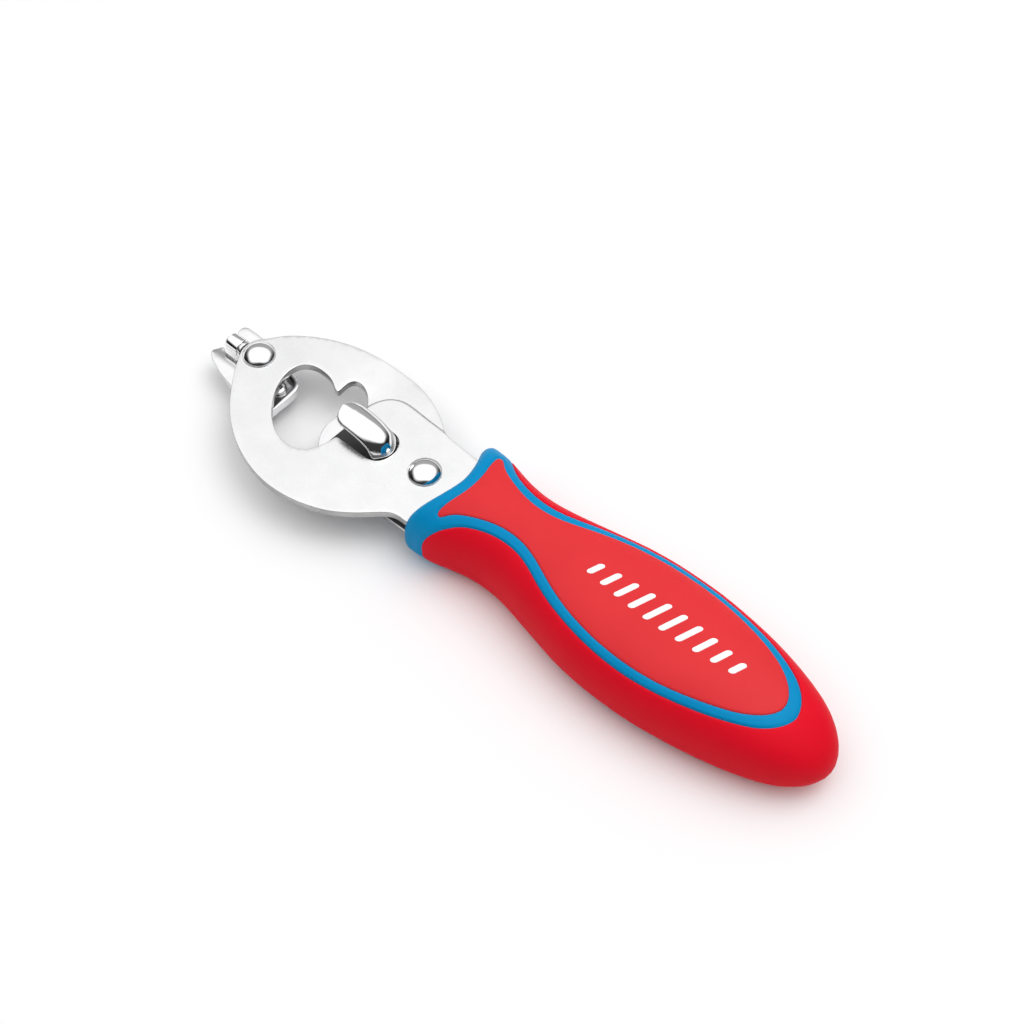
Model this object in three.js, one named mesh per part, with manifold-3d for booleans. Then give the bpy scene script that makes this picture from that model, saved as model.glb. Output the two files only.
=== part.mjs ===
// Manual can opener: a flat steel head with a cap-lifting window, a swivelling guide bracket with
// a roller and a cutting wheel at the nose, and a two-colour grip moulded round the tang.
// Millimetres, +Z up. The nose points along -X, the grip along +X, and the tool is symmetric about
// Y = 0 apart from its stamped outline. Origin: middle of the flat the grip rests on (Z = 0).
import * as THREE from "three";
import { mergeVertices } from "three/addons/utils/BufferGeometryUtils.js";
import Module from "manifold-3d";

const wasm = await Module();
wasm.setup();

// ---------------------------------------------------------------- driving dimensions
const REST_X = 45; // origin, measured from the design datum (the datum is 20 mm behind the rear rivet)
const PLATE_TOP = 11.8; // top face of the head plate
const PLATE_T = 2.2; // head plate thickness
const RING_DROP = 1.2; // how far the ring is set down beside the arm
const BACK_TOP = 7.4; // top face of the backing plate
const BACK_T = 1.2;
const HEAD_RIVET = [-83, 0];
const REAR_RIVET = [-20, 0];
const RIVET_R = 4.6; // rivet head radius
const RIVET_H = 2.7; // rivet head height
const SHANK_R = 2.0;
const TRAY_FLOOR_Z = 3.6; // underside of the guide bracket
const TRAY_T = 1.2; // guide bracket sheet
const TRAY_RIM_Z = 7.4;
const WHEEL = [-75, -1.6]; // cutting wheel centre
const WHEEL_R = 4.5;
const ROLLER_R = 2.65;
const ROLLER_Y = 0.3;
const ROLLER_Z = 8.6;
const ROLLER_X = [-95.0, -90.55];
const LUG_X = [-90.25, -89.3]; // the upright wall that holds the roller pin
const TONGUE_Y = -1.2; // middle of the cap lifter
const TONGUE_T = 1.5;
const GRIP_N = 2.6; // superellipse exponent of the grip section
const GRIP_Z = 7.2; // height of the widest line of the grip
const GRIP_UP = 15.1; // grip height above its widest line
const GRIP_DOWN = 7.5; // grip depth below its widest line
const SKIN = 2.3; // soft grip thickness
const GAP = 0.3; // clearance between moulded neighbours
const TANG_PIN_X = [14, 44];
const TANG_PIN_R = 2.0;

// ---------------------------------------------------------------- outlines (datum frame)
const HEAD_TOP_SIDE = [
  [-88.3, 2.2], [-87.2, 4.2], [-85.4, 5.9], [-84.5, 7.8], [-81.9, 10.8], [-78.7, 13.3], [-76.2, 15.1], [-71.7, 17.6],
  [-66.8, 19.7], [-61.1, 21.1], [-55.1, 21.9], [-48.4, 22.1], [-42.5, 21.6], [-37.4, 20.4],
  [-33.4, 18.9], [-29.3, 16.6], [-25.2, 13.6],
];
const HEAD_LOW_SIDE = [
  [-88.4, 0], [-88.0, -2.0], [-86.9, -4.0], [-85.6, -6.0], [-84.1, -8.3], [-82.0, -10.8], [-79.6, -13.9], [-76.9, -16.7], [-74.1, -19.3],
  [-71.1, -21.7], [-67.9, -23.8], [-64.4, -25.7], [-60.7, -27.3], [-56.6, -28.5], [-52.3, -29.5],
  [-47.8, -29.9], [-43.4, -29.6], [-38.9, -28.7], [-34.4, -27.4], [-30.3, -25.6], [-26.8, -23.3],
  [-23.6, -20.7], [-20.6, -17.8], [-19.0, -16.2], [-17.4, -15.2], [-15.8, -14.8], [-12.6, -14.8],
];
const ARM_SIDE = [[-24.7, 13.0], [-19.5, 12.5], [-14.9, 12.2], [-11.5, 12.2]];
const TANG_TOP = [[-6.5, 10.2], [-2, 7.8], [4, 7.2], [54, 7.2], [57.5, 5.6], [58.6, 2.5]];
const TANG_LOW = [[58.6, -2.5], [57.5, -5.6], [54, -7.2], [4, -7.2], [-2, -8.2], [-7.5, -12.2]];
const HOLE = [
  [-47.9, 7.0], [-49.4, 8.7], [-51.1, 10.1], [-53.3, 11.3], [-55.3, 11.6], [-56.7, 10.9], [-57.3, 9.5],
  [-57.3, 7.7], [-57.1, 5.8], [-57.1, 4.7], [-58.5, 5.4], [-60.6, 6.6], [-62.8, 7.3], [-65.0, 7.5],
  [-67.7, 7.4], [-70.2, 6.3], [-71.5, 4.9], [-72.3, 2.9], [-72.4, 0.6], [-71.9, -1.9], [-70.9, -4.6],
  [-69.2, -7.4], [-66.9, -10.4], [-65.1, -12.2], [-62.7, -14.3], [-59.8, -15.9], [-56.8, -17.0],
  [-53.9, -17.2], [-51.6, -16.5], [-49.5, -15.2], [-48.0, -13.4], [-47.0, -11.1], [-46.4, -8.3],
  [-46.3, -6.6],
];
const SLOT = [
  [-36.2, -6.6], [-34.2, -6.45], [-32.95, -6.05], [-32.4, -5.7], [-31.75, -5.0], [-31.2, -4.2], [-30.75, -3.0], [-30.55, -1.2], [-30.75, 0.6],
  [-31.2, 1.8], [-31.75, 2.6], [-32.4, 3.3], [-32.95, 3.65], [-34.2, 4.1], [-36.2, 4.3], [-46.6, 4.9],
];
// pressed cup of the guide bracket, and the two flat ears that stand forward from its rim
const CUP = [
  [-88.05, 6.8], [-74.4, 4.0], [-71.6, 3.1], [-69.9, 2.1], [-69.0, 0.6], [-68.7, -3.1], [-68.6, -9.4], [-68.9, -12.0],
  [-69.9, -13.3], [-71.4, -13.5], [-84.4, -10.6], [-88.05, -9.75],
];
const EAR_PLUS = [[-87.0, 3.4], [-87.0, 6.9], [-90.0, 7.4], [-93.0, 7.6], [-96.2, 7.55], [-97.3, 7.0], [-97.7, 5.9], [-97.3, 4.4], [-96.2, 3.55], [-94.5, 3.4]];
const EAR_MINUS = [
  [-87.0, -2.75], [-95.0, -2.75], [-96.2, -1.7], [-96.9, -2.0], [-97.75, -4.4], [-97.55, -5.5], [-96.9, -6.35], [-95.2, -7.35],
  [-90.1, -9.3], [-87.5, -9.95], [-83.2, -10.85], [-83.2, -8.0], [-86.2, -5.6], [-87.0, -4.6],
];
// Half width of the coloured zones of the grip against X
const PANEL = [
  [-4.4, 11.6], [-3.9, 12.4], [-3.0, 12.3], [-1.8, 10.7], [0, 9.5], [2, 8.5], [4, 7.6], [8, 6.2], [12, 5.4], [16, 5.25], [20, 5.8], [24, 7.1],
  [28, 8.75], [32, 10.3], [36, 11.7], [40, 12.8], [44, 13.6], [48, 14.2], [52, 14.55], [56, 14.7],
  [60, 14.65], [64, 14.4], [68, 13.9], [72, 13.1], [76, 12.2], [80, 11.05], [84, 9.6], [87, 8.2], [90, 6.2], [92, 4.2], [93.3, 2.0],
];
const PANEL_FRONT = [[-4.2, 10.2], [-3.4, 7.0], [-2.6, 4.0], [-2.2, 0]];
const BAND = [
  [-8, 20], [-6.6, 18.6], [-5.6, 17.3], [-4.7, 16.6], [-3.4, 15.7], [-2.3, 14.8], [-1.1, 13.8], [0.1, 12.9],
  [2, 11.5], [4, 10.4], [8, 9.0], [12, 8.15], [16, 7.95], [20, 8.5], [24, 9.75], [28, 11.5], [32, 12.8],
  [36, 14.0], [40, 14.95], [44, 15.7], [48, 16.25], [52, 16.6], [56, 16.75], [60, 16.7], [64, 16.4],
  [68, 15.9], [72, 15.2], [76, 14.35], [80, 13.3], [84, 12.0], [88, 10.4], [91.5, 8.6], [94.4, 6.1], [96.3, 3.3],
];
// Half width of the whole grip against X
const WIDTH = [
  [-13.6, 14.2], [-13.2, 15.2], [-12.4, 16.4], [-10.8, 17.2], [-8.3, 17.42], [-4.1, 17.14], [0, 16.03],
  [4.1, 14.79], [8.3, 13.94], [12.4, 13.6], [16.6, 13.82], [20.7, 14.51], [24.8, 15.41], [29, 16.36],
  [33.1, 17.31], [37.3, 18.3], [41.4, 19.13], [45.5, 19.62], [49.7, 20.06], [53.8, 20.17], [58, 20.17],
  [62.1, 20.0], [66.3, 19.67], [70.4, 19.07], [74.5, 18.58], [78.7, 17.84], [82.8, 16.97], [87, 15.92],
  [91.1, 14.7], [95.2, 13.32], [99.4, 11.59], [103.5, 9.2], [106.6, 6.5], [108.4, 4.0], [109.2, 2.0],
];

// ---------------------------------------------------------------- helpers
const clean = (g) => {
  const c = g.index ? g.toNonIndexed() : g.clone();
  for (const k of Object.keys(c.attributes)) if (k !== "position") c.deleteAttribute(k);
  return mergeVertices(c, 1e-4);
};
function solid(g) {
  const m = clean(g);
  let s = new wasm.Manifold(
    new wasm.Mesh({
      numProp: 3,
      vertProperties: m.attributes.position.array,
      triVerts: new Uint32Array(m.index.array),
    }),
  );
  if (s.volume() < 0) {
    const t = new Uint32Array(m.index.array);
    for (let i = 0; i < t.length; i += 3) [t[i + 1], t[i + 2]] = [t[i + 2], t[i + 1]];
    s = new wasm.Manifold(
      new wasm.Mesh({ numProp: 3, vertProperties: m.attributes.position.array, triVerts: t }),
    );
  }
  return s;
}
function geometryOf(s) {
  const m = s.getMesh();
  const v = new Float32Array(m.numVert * 3);
  for (let i = 0; i < m.numVert; i++)
    v.set(m.vertProperties.subarray(i * m.numProp, i * m.numProp + 3), i * 3);
  const g = new THREE.BufferGeometry();
  g.setAttribute("position", new THREE.BufferAttribute(v, 3));
  g.setIndex(new THREE.BufferAttribute(new Uint32Array(m.triVerts), 1));
  const flat = g.toNonIndexed();
  flat.computeVertexNormals();
  return flat;
}
const V2 = (p) => new THREE.Vector2(p[0], p[1]);
function prism(points, z0, z1) {
  const shape = new THREE.Shape(points.map(V2));
  const g = new THREE.ExtrudeGeometry(shape, { depth: z1 - z0, bevelEnabled: false, steps: 1 });
  g.translate(0, 0, z0);
  return solid(g);
}
// Offsets a closed outline by d along its outward normals (mitre limited by the vertex average)
function offset(points, d) {
  const n = points.length;
  let area = 0;
  for (let i = 0; i < n; i++) {
    const [x0, y0] = points[i], [x1, y1] = points[(i + 1) % n];
    area += x0 * y1 - x1 * y0;
  }
  const s = area > 0 ? 1 : -1;
  return points.map(([x, y], i) => {
    const a = points[(i + n - 1) % n], b = points[(i + 1) % n];
    const u = V2([x - a[0], y - a[1]]).normalize(), v = V2([b[0] - x, b[1] - y]).normalize();
    const nx = (u.y + v.y) * s, ny = -(u.x + v.x) * s, l = Math.hypot(nx, ny) || 1;
    const c = Math.max(0.5, Math.sqrt(Math.max(0.05, (1 + u.dot(v)) / 2)));
    return [x + (nx / l) * (d / c), y + (ny / l) * (d / c)];
  });
}
// Turned solid about the Z axis through (x, y); profile is [r, z] from bottom to top
function turned(profile, x, y, seg = 24) {
  const g = new THREE.LatheGeometry(profile.map(([r, z]) => new THREE.Vector2(r, z)), seg);
  g.rotateX(Math.PI / 2); // lathe axis Y becomes Z
  g.translate(x, y, 0);
  return solid(g);
}
function turnedX(profile, y, z, seg = 24) {
  const g = new THREE.LatheGeometry(profile.map(([r, x]) => new THREE.Vector2(r, x)), seg);
  g.rotateZ(-Math.PI / 2); // lathe axis Y becomes X
  g.translate(0, y, z);
  return solid(g);
}
function turnedY(profile, x, z, seg = 24) {
  const g = new THREE.LatheGeometry(profile.map(([r, y]) => new THREE.Vector2(r, y)), seg);
  g.translate(x, 0, z);
  return solid(g);
}
function box(x0, x1, y0, y1, z0, z1) {
  const g = new THREE.BoxGeometry(x1 - x0, y1 - y0, z1 - z0);
  g.translate((x0 + x1) / 2, (y0 + y1) / 2, (z0 + z1) / 2);
  return solid(g);
}
// Monotone cubic through sorted [x, y] pairs
function curve(table) {
  const n = table.length, X = table.map((p) => p[0]), Y = table.map((p) => p[1]);
  const h = [], s = [], m = new Array(n).fill(0);
  for (let i = 0; i < n - 1; i++) { h[i] = X[i + 1] - X[i]; s[i] = (Y[i + 1] - Y[i]) / h[i]; }
  m[0] = s[0]; m[n - 1] = s[n - 2];
  for (let i = 1; i < n - 1; i++)
    m[i] = s[i - 1] * s[i] <= 0 ? 0 : (3 * (h[i - 1] + h[i])) / ((2 * h[i] + h[i - 1]) / s[i - 1] + (h[i] + 2 * h[i - 1]) / s[i]);
  return (x) => {
    if (x <= X[0]) return Y[0];
    if (x >= X[n - 1]) return Y[n - 1];
    let i = 0;
    while (x > X[i + 1]) i++;
    const t = (x - X[i]) / h[i], a = t * t, b = a * t;
    return (2 * b - 3 * a + 1) * Y[i] + (b - 2 * a + t) * h[i] * m[i] + (3 * a - 2 * b) * Y[i + 1] + (b - a) * h[i] * m[i + 1];
  };
}
const halfWidth = curve(WIDTH);
function heightShare(x) {
  if (x > 72) return Math.sqrt(Math.max(0, 1 - Math.pow((x - 72) / 37.2, 2.2)));
  if (x < -8) return 1 - 0.22 * Math.pow(Math.min(1, (-8 - x) / 6), 2);
  return 1;
}
// Grip body: superelliptic sections along X, shrunk by d all round, from x0 to x1
function gripBody(d, stations, seg = 24) {
  const pos = [], idx = [];
  for (const x of stations) {
    const w = Math.max(0.6, halfWidth(x) - d), share = heightShare(x);
    for (let i = 0; i < seg; i++) {
      const a = ((i + 0.5) / seg) * 2 * Math.PI, c = Math.cos(a), s = Math.sin(a);
      const h = Math.max(0.5, (s > 0 ? GRIP_UP : GRIP_DOWN) * share - d);
      pos.push(x, Math.sign(c) * Math.pow(Math.abs(c), 2 / GRIP_N) * w, GRIP_Z + Math.sign(s) * Math.pow(Math.abs(s), 2 / GRIP_N) * h);
    }
  }
  const n = stations.length;
  for (let k = 0; k < n - 1; k++)
    for (let i = 0; i < seg; i++) {
      const a = k * seg + i, b = k * seg + ((i + 1) % seg), c = a + seg, e = b + seg;
      idx.push(a, b, e, a, e, c);
    }
  const c0 = pos.length / 3;
  pos.push(stations[0], 0, GRIP_Z, stations[n - 1] + 0.15, 0, GRIP_Z);
  for (let i = 0; i < seg; i++) {
    const j = (i + 1) % seg;
    idx.push(c0, j, i, c0 + 1, (n - 1) * seg + i, (n - 1) * seg + j);
  }
  const g = new THREE.BufferGeometry();
  g.setAttribute("position", new THREE.BufferAttribute(new Float32Array(pos), 3));
  g.setIndex(idx);
  return solid(g);
}

const assembly = new THREE.Group();
const rootParts = new THREE.Group(), bracketParts = new THREE.Group();
assembly.add(rootParts, bracketParts);
function piece(name, s, material, parent = rootParts) {
  const mesh = new THREE.Mesh(geometryOf(s), new THREE.MeshStandardMaterial(material));
  mesh.name = name;
  parent.add(mesh);
  return mesh;
}
const SATIN = { color: 0xd9dadb, roughness: 0.38, metalness: 1.0 };
const CHROME = { color: 0xe6e6e8, roughness: 0.08, metalness: 1.0 };
const STEEL = { color: 0xb4b6b8, roughness: 0.3, metalness: 1.0 };
const BLUE = { color: 0x0094d4, roughness: 0.5, metalness: 0.0 };
const RED = { color: 0xe03038, roughness: 0.55, metalness: 0.0 };

// ---------------------------------------------------------------- head plate
const P0 = PLATE_TOP - PLATE_T;
// The arm runs on into the tang as one flat sheet with the low side of the ring and the nose.
const flatOutline = [
  ...HEAD_LOW_SIDE, ...TANG_LOW.slice().reverse(), ...TANG_TOP.slice().reverse(), ...ARM_SIDE.slice().reverse(),
  [-31.3, 13.2], [-39.4, 13.6], [-41.6, 13.2], [-43.7, 12.2], [-45.3, 10.3], [-46.2, 8.2], [-46.6, 5.7],
  ...SLOT.slice(0, -1).reverse(), ...HOLE.slice(16).reverse(),
  ...HEAD_TOP_SIDE.slice(0, 5).reverse(),
];
// The +Y side of the ring is pressed down beside the arm: it slopes from the nose to RING_DROP at the arm.
const setDownOutline = [
  [-73.6, 3.6], [-82.4, 9.4], ...HEAD_TOP_SIDE.slice(4), [-25.9, 11.7], [-31.5, 11.6], [-39.5, 12.0], [-41.0, 11.6], [-42.6, 10.6],
  [-43.9, 9.2], [-44.8, 7.5], [-45.3, 6.1], ...HOLE.slice(0, 17),
];
function ringDrop(x, y) {
  const a = (Math.atan2(y + 4, x + 52) * 180) / Math.PI; // about the ring centre, 0 along +X
  const t = Math.min(1, Math.max(0, (152 - a) / 82));
  return 0.05 + (RING_DROP - 0.05) * t * t * (3 - 2 * t);
}
function setDown() {
  const g = new THREE.ExtrudeGeometry(new THREE.Shape(setDownOutline.map(V2)), { depth: PLATE_T - 0.1, bevelEnabled: false, steps: 1 });
  const p = g.getAttribute("position");
  for (let i = 0; i < p.count; i++) p.setZ(i, p.getZ(i) + P0 + 0.1 - ringDrop(p.getX(i), p.getY(i)));
  return solid(g);
}
const rivetBore = (p, r = SHANK_R + 0.12) => turned([[0, -5], [r, -5], [r, 20], [0, 20]], p[0], p[1]);
const pinBoreZ = (x, r) => turned([[0, -5], [r, -5], [r, 30], [0, 30]], x, 0, 20);
let headPlate = prism(flatOutline, P0, PLATE_TOP)
  .add(setDown())
  .subtract(rivetBore(HEAD_RIVET))
  .subtract(rivetBore(REAR_RIVET));
for (const x of TANG_PIN_X) headPlate = headPlate.subtract(pinBoreZ(x, TANG_PIN_R + 0.1));
piece("head_plate", headPlate, SATIN);

// ---------------------------------------------------------------- backing plate
const backEnd = [];
for (let i = 0; i <= 16; i++) {
  const a = Math.PI / 2 + (Math.PI * i) / 16;
  backEnd.push([-40.3 + 13.8 * Math.cos(a), -1 + 12.9 * Math.sin(a)]);
}
let backing = prism(
  [...backEnd, [-20.5, -15.1], [-12.4, -15.1], [-10.4, -14.0], [-7.5, -12.0], [-2, -8.2], [4, -7.2], [48, -7.2], [50, -5.5], [50, 5.5], [48, 7.2], [4, 7.2], [-2, 7.8], [-6.5, 10.0], [-11, 11.9]],
  BACK_TOP - BACK_T,
  BACK_TOP,
).subtract(rivetBore(REAR_RIVET));
for (const x of TANG_PIN_X) backing = backing.subtract(pinBoreZ(x, TANG_PIN_R + 0.1));
piece("backing_plate", backing, STEEL);
// thin dark shim that closes the bottom of the tongue slot and packs the lifter's strip
piece("plate_shim", prism([[-49.1, -6.6], [-12, -6.6], [-12, 3.7], [-49.1, 3.7]], BACK_TOP + 0.03, BACK_TOP + 0.36).subtract(rivetBore(REAR_RIVET)), { color: 0x1c1c1e, roughness: 0.7, metalness: 0.0 });

// ---------------------------------------------------------------- cap lifter (formed tongue)
// Sections across Y along a path in X, Z: crowned strip of thickness TONGUE_T
function capLifter() {
  const path = [
    // x, z of the top centre, half width, crown height
    [-11.5, P0 - 0.1, 4.5, 0], [-24.5, P0 - 0.1, 4.5, 0], [-29.4, P0 - 0.1, 4.4, 0.05], [-30.5, P0 - 0.2, 4.5, 0.1], [-30.95, 10.0, 4.6, 1.6],
    [-31.1, 11.0, 4.65, 2.0], [-31.3, 12.2, 4.7, 2.1], [-31.9, 14.0, 4.6, 2.1], [-33.1, 15.7, 4.5, 2.1], [-35.2, 17.0, 4.4, 2.0], [-38.0, 17.85, 4.4, 1.8], [-41.5, 18.3, 4.4, 1.6],
    [-44.9, 18.45, 4.4, 1.5], [-46.4, 18.45, 4.05, 1.25], [-47.4, 18.4, 3.3, 0.85], [-48.0, 18.35, 2.2, 0.4], [-48.2, 18.3, 1.2, 0.12],
  ];
  const M = 8, pos = [], idx = [];
  path.forEach(([x, z, w, c], k) => {
    const a = path[Math.max(0, k - 1)], b = path[Math.min(path.length - 1, k + 1)];
    let tx = b[0] - a[0], tz = b[1] - a[1];
    const l = Math.hypot(tx, tz); tx /= l; tz /= l;
    const nx = tz, nz = -tx; // towards the top face
    for (let j = 0; j <= M; j++) {
      const u = (j / M) * 2 - 1, drop = c * u * u;
      const px = x - nx * drop, pz = z - nz * drop;
      pos.push(px, TONGUE_Y + u * w, pz);
    }
    for (let j = M; j >= 0; j--) {
      const u = (j / M) * 2 - 1, drop = c * u * u * 0.9 + TONGUE_T;
      const px = x - nx * drop, pz = z - nz * drop;
      pos.push(px, TONGUE_Y + u * w, pz);
    }
  });
  const R = 2 * (M + 1);
  for (let k = 0; k < path.length - 1; k++)
    for (let j = 0; j < R; j++) {
      const a = k * R + j, b = k * R + ((j + 1) % R), c = a + R, d = b + R;
      idx.push(a, c, d, a, d, b);
    }
  for (const [k, flip] of [[0, false], [path.length - 1, true]])
    for (let j = 0; j < M; j++) {
      const a = k * R + j, b = a + 1, d = k * R + (R - 1 - j), c = d - 1;
      if (flip) idx.push(a, d, c, a, c, b);
      else idx.push(a, b, c, a, c, d);
    }
  const g = new THREE.BufferGeometry();
  g.setAttribute("position", new THREE.BufferAttribute(new Float32Array(pos), 3));
  g.setIndex(idx);
  return solid(g);
}
piece("cap_lifter", capLifter().subtract(rivetBore(REAR_RIVET)), CHROME);

// ---------------------------------------------------------------- rivets and their stack
const dome = (r, z, h, n = 7) => {
  const R = (r * r + h * h) / (2 * h), out = [];
  const a0 = Math.asin(r / R);
  for (let i = 0; i <= n; i++) {
    const a = a0 * (1 - i / n);
    out.push([Math.max(0, R * Math.sin(a)), z + h - R + R * Math.cos(a)]);
  }
  return out;
};
const HEAD_Z = PLATE_TOP + 0.02;
function rivet(p, tailZ, tailR, tailH) {
  return turned(
    [
      [0, tailZ], [tailR * 0.7, tailZ], [tailR, tailZ + tailH * 0.5], [tailR, tailZ + tailH], [SHANK_R, tailZ + tailH],
      [SHANK_R, HEAD_Z], [RIVET_R - 0.15, HEAD_Z], [RIVET_R, HEAD_Z + 0.35], ...dome(RIVET_R, HEAD_Z + 0.35, RIVET_H - 0.35).slice(1),
    ],
    p[0], p[1],
  );
}
const WASHER_T = 0.7;
const ring = (p, r0, r1, z0, z1, seg = 24) => turned([[r0, z0], [r1, z0], [r1, z1], [r0, z1], [r0, z0]], p[0], p[1], seg);
piece("rear_rivet", rivet(REAR_RIVET, BACK_TOP - BACK_T - WASHER_T - 1.35, 3.2, 1.3), CHROME);
piece("rear_rivet_washer", ring(REAR_RIVET, SHANK_R + 0.12, 4.0, BACK_TOP - BACK_T - WASHER_T - 0.02, BACK_TOP - BACK_T - 0.02), STEEL);
piece("head_rivet", rivet(HEAD_RIVET, 1.5, 2.7, 1.2), CHROME);
piece("head_rivet_washer", ring(HEAD_RIVET, SHANK_R + 0.12, 3.2, 2.75, 3.4), STEEL);
piece("swivel_bush", turned([[SHANK_R + 0.12, 3.5], [2.6, 3.5], [2.6, 4.9], [3.2, 4.9], [3.2, 8.6], [SHANK_R + 0.12, 8.6], [SHANK_R + 0.12, 3.5]], HEAD_RIVET[0], HEAD_RIVET[1]), STEEL);
piece("spring_washer", turned([[2.3, 9.05], [3.6, 8.68], [3.6, 8.98], [2.3, 9.35], [2.3, 9.05]], HEAD_RIVET[0], HEAD_RIVET[1]), STEEL);

// ---------------------------------------------------------------- guide bracket (swivels on the head rivet)
let tray = prism(CUP, TRAY_FLOOR_Z, TRAY_RIM_Z)
  .add(prism(EAR_PLUS, TRAY_RIM_Z - TRAY_T, TRAY_RIM_Z))
  .add(prism(EAR_MINUS, TRAY_RIM_Z - TRAY_T, TRAY_RIM_Z))
  .subtract(prism(offset(CUP, -TRAY_T), TRAY_FLOOR_Z + TRAY_T, TRAY_RIM_Z + 1))
  .add(box(LUG_X[0], -87.0, -2.3, 2.9, TRAY_FLOOR_Z + 0.4, TRAY_FLOOR_Z + 1.6))
  .add(prism([[LUG_X[0], -2.3], [LUG_X[1], -2.3], [LUG_X[1], 2.9], [LUG_X[0], 2.9]], TRAY_FLOOR_Z + 0.4, ROLLER_Z)
    .add(turnedX([[0, LUG_X[0]], [2.6, LUG_X[0]], [2.6, LUG_X[1]], [0, LUG_X[1]]], ROLLER_Y, ROLLER_Z, 24)))
  .subtract(turned([[0, 0], [2.75, 0], [2.75, TRAY_FLOOR_Z + TRAY_T + 0.05], [0, TRAY_FLOOR_Z + TRAY_T + 0.05]], HEAD_RIVET[0], HEAD_RIVET[1]))
  .subtract(turned([[0, 0], [1.6, 0], [1.6, 6], [0, 6]], WHEEL[0], WHEEL[1], 20))
  .subtract(turnedX([[0, -92], [1.1, -92], [1.1, -88.5], [0, -88.5]], ROLLER_Y, ROLLER_Z, 20));
piece("guide_bracket", tray, { color: 0xcfd0d2, roughness: 0.3, metalness: 1.0 }, bracketParts);
piece("roller_pin", turnedX([
  [0, -96.05], [1.3, -95.9], [2.1, -95.55], [2.45, -95.1], [1.0, -95.05], [1.0, -89.27], [1.5, -89.25], [1.5, -89.05], [0, -88.98],
], ROLLER_Y, ROLLER_Z, 20), CHROME, bracketParts);
piece("roller_washer", turnedX([[1.1, -90.5], [2.1, -90.5], [2.1, -90.3], [1.1, -90.3], [1.1, -90.5]], ROLLER_Y, ROLLER_Z, 20), STEEL, bracketParts);
piece("guide_roller", turnedX([
  [1.1, ROLLER_X[0]], [2.35, ROLLER_X[0]], [ROLLER_R, ROLLER_X[0] + 0.3], [ROLLER_R, ROLLER_X[1] - 0.2], [2.4, ROLLER_X[1]], [1.1, ROLLER_X[1]], [1.1, ROLLER_X[0]],
], ROLLER_Y, ROLLER_Z, 24), CHROME, bracketParts);
piece("cutting_wheel", turned([
  [1.6, 1.95], [2.4, 1.95], [WHEEL_R, 2.55], [WHEEL_R, 2.7], [3.1, 3.3], [1.6, 3.3], [1.6, 1.95],
], WHEEL[0], WHEEL[1], 28), STEEL, bracketParts);
piece("wheel_stud", turned([
  [0, 0.85], [1.6, 0.85], [1.9, 1.1], [1.9, 1.4], [1.5, 1.4], [1.5, 4.95], [2.5, 4.95], [2.5, 5.5], [1.7, 6.2], [0, 6.35],
], WHEEL[0], WHEEL[1], 20), CHROME, bracketParts);
piece("wheel_washer", ring(WHEEL, 1.6, 2.3, 1.47, 1.85, 20), STEEL, bracketParts);

// ---------------------------------------------------------------- grip
const STATIONS = [-13.6, -12.6, -11, -8.5, -5, -1, 4, 9, 14, 19, 24, 30, 36, 42, 49, 56, 63, 70, 77, 83, 89, 94, 98.5, 102.5, 105.5, 107.6, 109];
const CORE_ST = [-4.6, 4, 12, 20, 30, 42, 56, 70, 82, 92, 99, 103.5, 105.6];
const floorCut = box(-30, 130, -40, 40, -10, 0);
// front face of the collar is hollowed: deepest on the middle line
const mouth = [];
for (let i = 0; i <= 14; i++) {
  const y = -19 + (38 * i) / 14;
  mouth.push([-6.2 - 6.2 * Math.pow(Math.abs(y) / 17, 1.8), y]);
}
const mouthCut = prism([[-40, -19], ...mouth, [-40, 19]], -5, 30);
const body = gripBody(0, STATIONS).subtract(floorCut).subtract(mouthCut);
const mirror = (pts) => [...pts].reverse().map(([x, y]) => [x, -y]);
const panelOutline = [...PANEL, [93.8, 0], ...mirror(PANEL), ...PANEL_FRONT.map(([x, y]) => [x, -y]), ...PANEL_FRONT.slice(0, 3).reverse()];
const bandOutline = [[-30, 30], [-9, 22], ...BAND, [97.3, 0], ...mirror(BAND), [-9, -22], [-30, -30]];
const inner = gripBody(SKIN, CORE_ST, 16), innerGrown = gripBody(SKIN - GAP, CORE_ST.map((x, i) => (i === 0 ? x - 0.3 : i === CORE_ST.length - 1 ? x + 0.3 : x)), 16);
const panelIn = prism(offset(panelOutline, -GAP / 2), -5, 30), panelOut = prism(offset(panelOutline, GAP / 2), -5, 30);
const bandIn = prism(offset(bandOutline, -GAP / 2), -5, 30), bandOut = prism(offset(bandOutline, GAP / 2), -5, 30);
// pocket for the two tangs, their spacer and the space between them
const pocketOutline = [[-30, -15.2], [-10, -15.2], [-7, -12.8], [-1.8, -8.8], [4, -7.6], [54.2, -7.6], [58, -5.9], [59.1, -2.6], [59.1, 2.6], [58, 5.9], [54.2, 7.6], [4, 7.6], [-1.8, 8.2], [-6.2, 10.7], [-11, 12.7], [-30, 12.7]];
const pocket = prism(pocketOutline, BACK_TOP - BACK_T - 0.3, PLATE_TOP + 0.3);
let core = body.intersect(bandIn).subtract(panelOut).add(inner).subtract(pocket);
core = core.subtract(mouthCut);
for (const x of TANG_PIN_X) core = core.subtract(turned([[0, 2.4], [TANG_PIN_R + 0.1, 2.4], [TANG_PIN_R + 0.1, 19.6], [0, 19.6]], x, 0, 20));
piece("handle_core", core, BLUE);
const top = box(-30, 130, -40, 40, GRIP_Z, 40), under = box(-30, 130, -40, 40, -10, GRIP_Z);
const panels = body.intersect(panelIn).subtract(innerGrown);
piece("grip_panel_top", panels.intersect(top), RED);
piece("grip_panel_bottom", panels.intersect(under), RED);
const side = body.subtract(bandOut).subtract(innerGrown);
piece("side_grip", side, { color: 0xc81428, roughness: 0.55, metalness: 0.0 });
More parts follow.
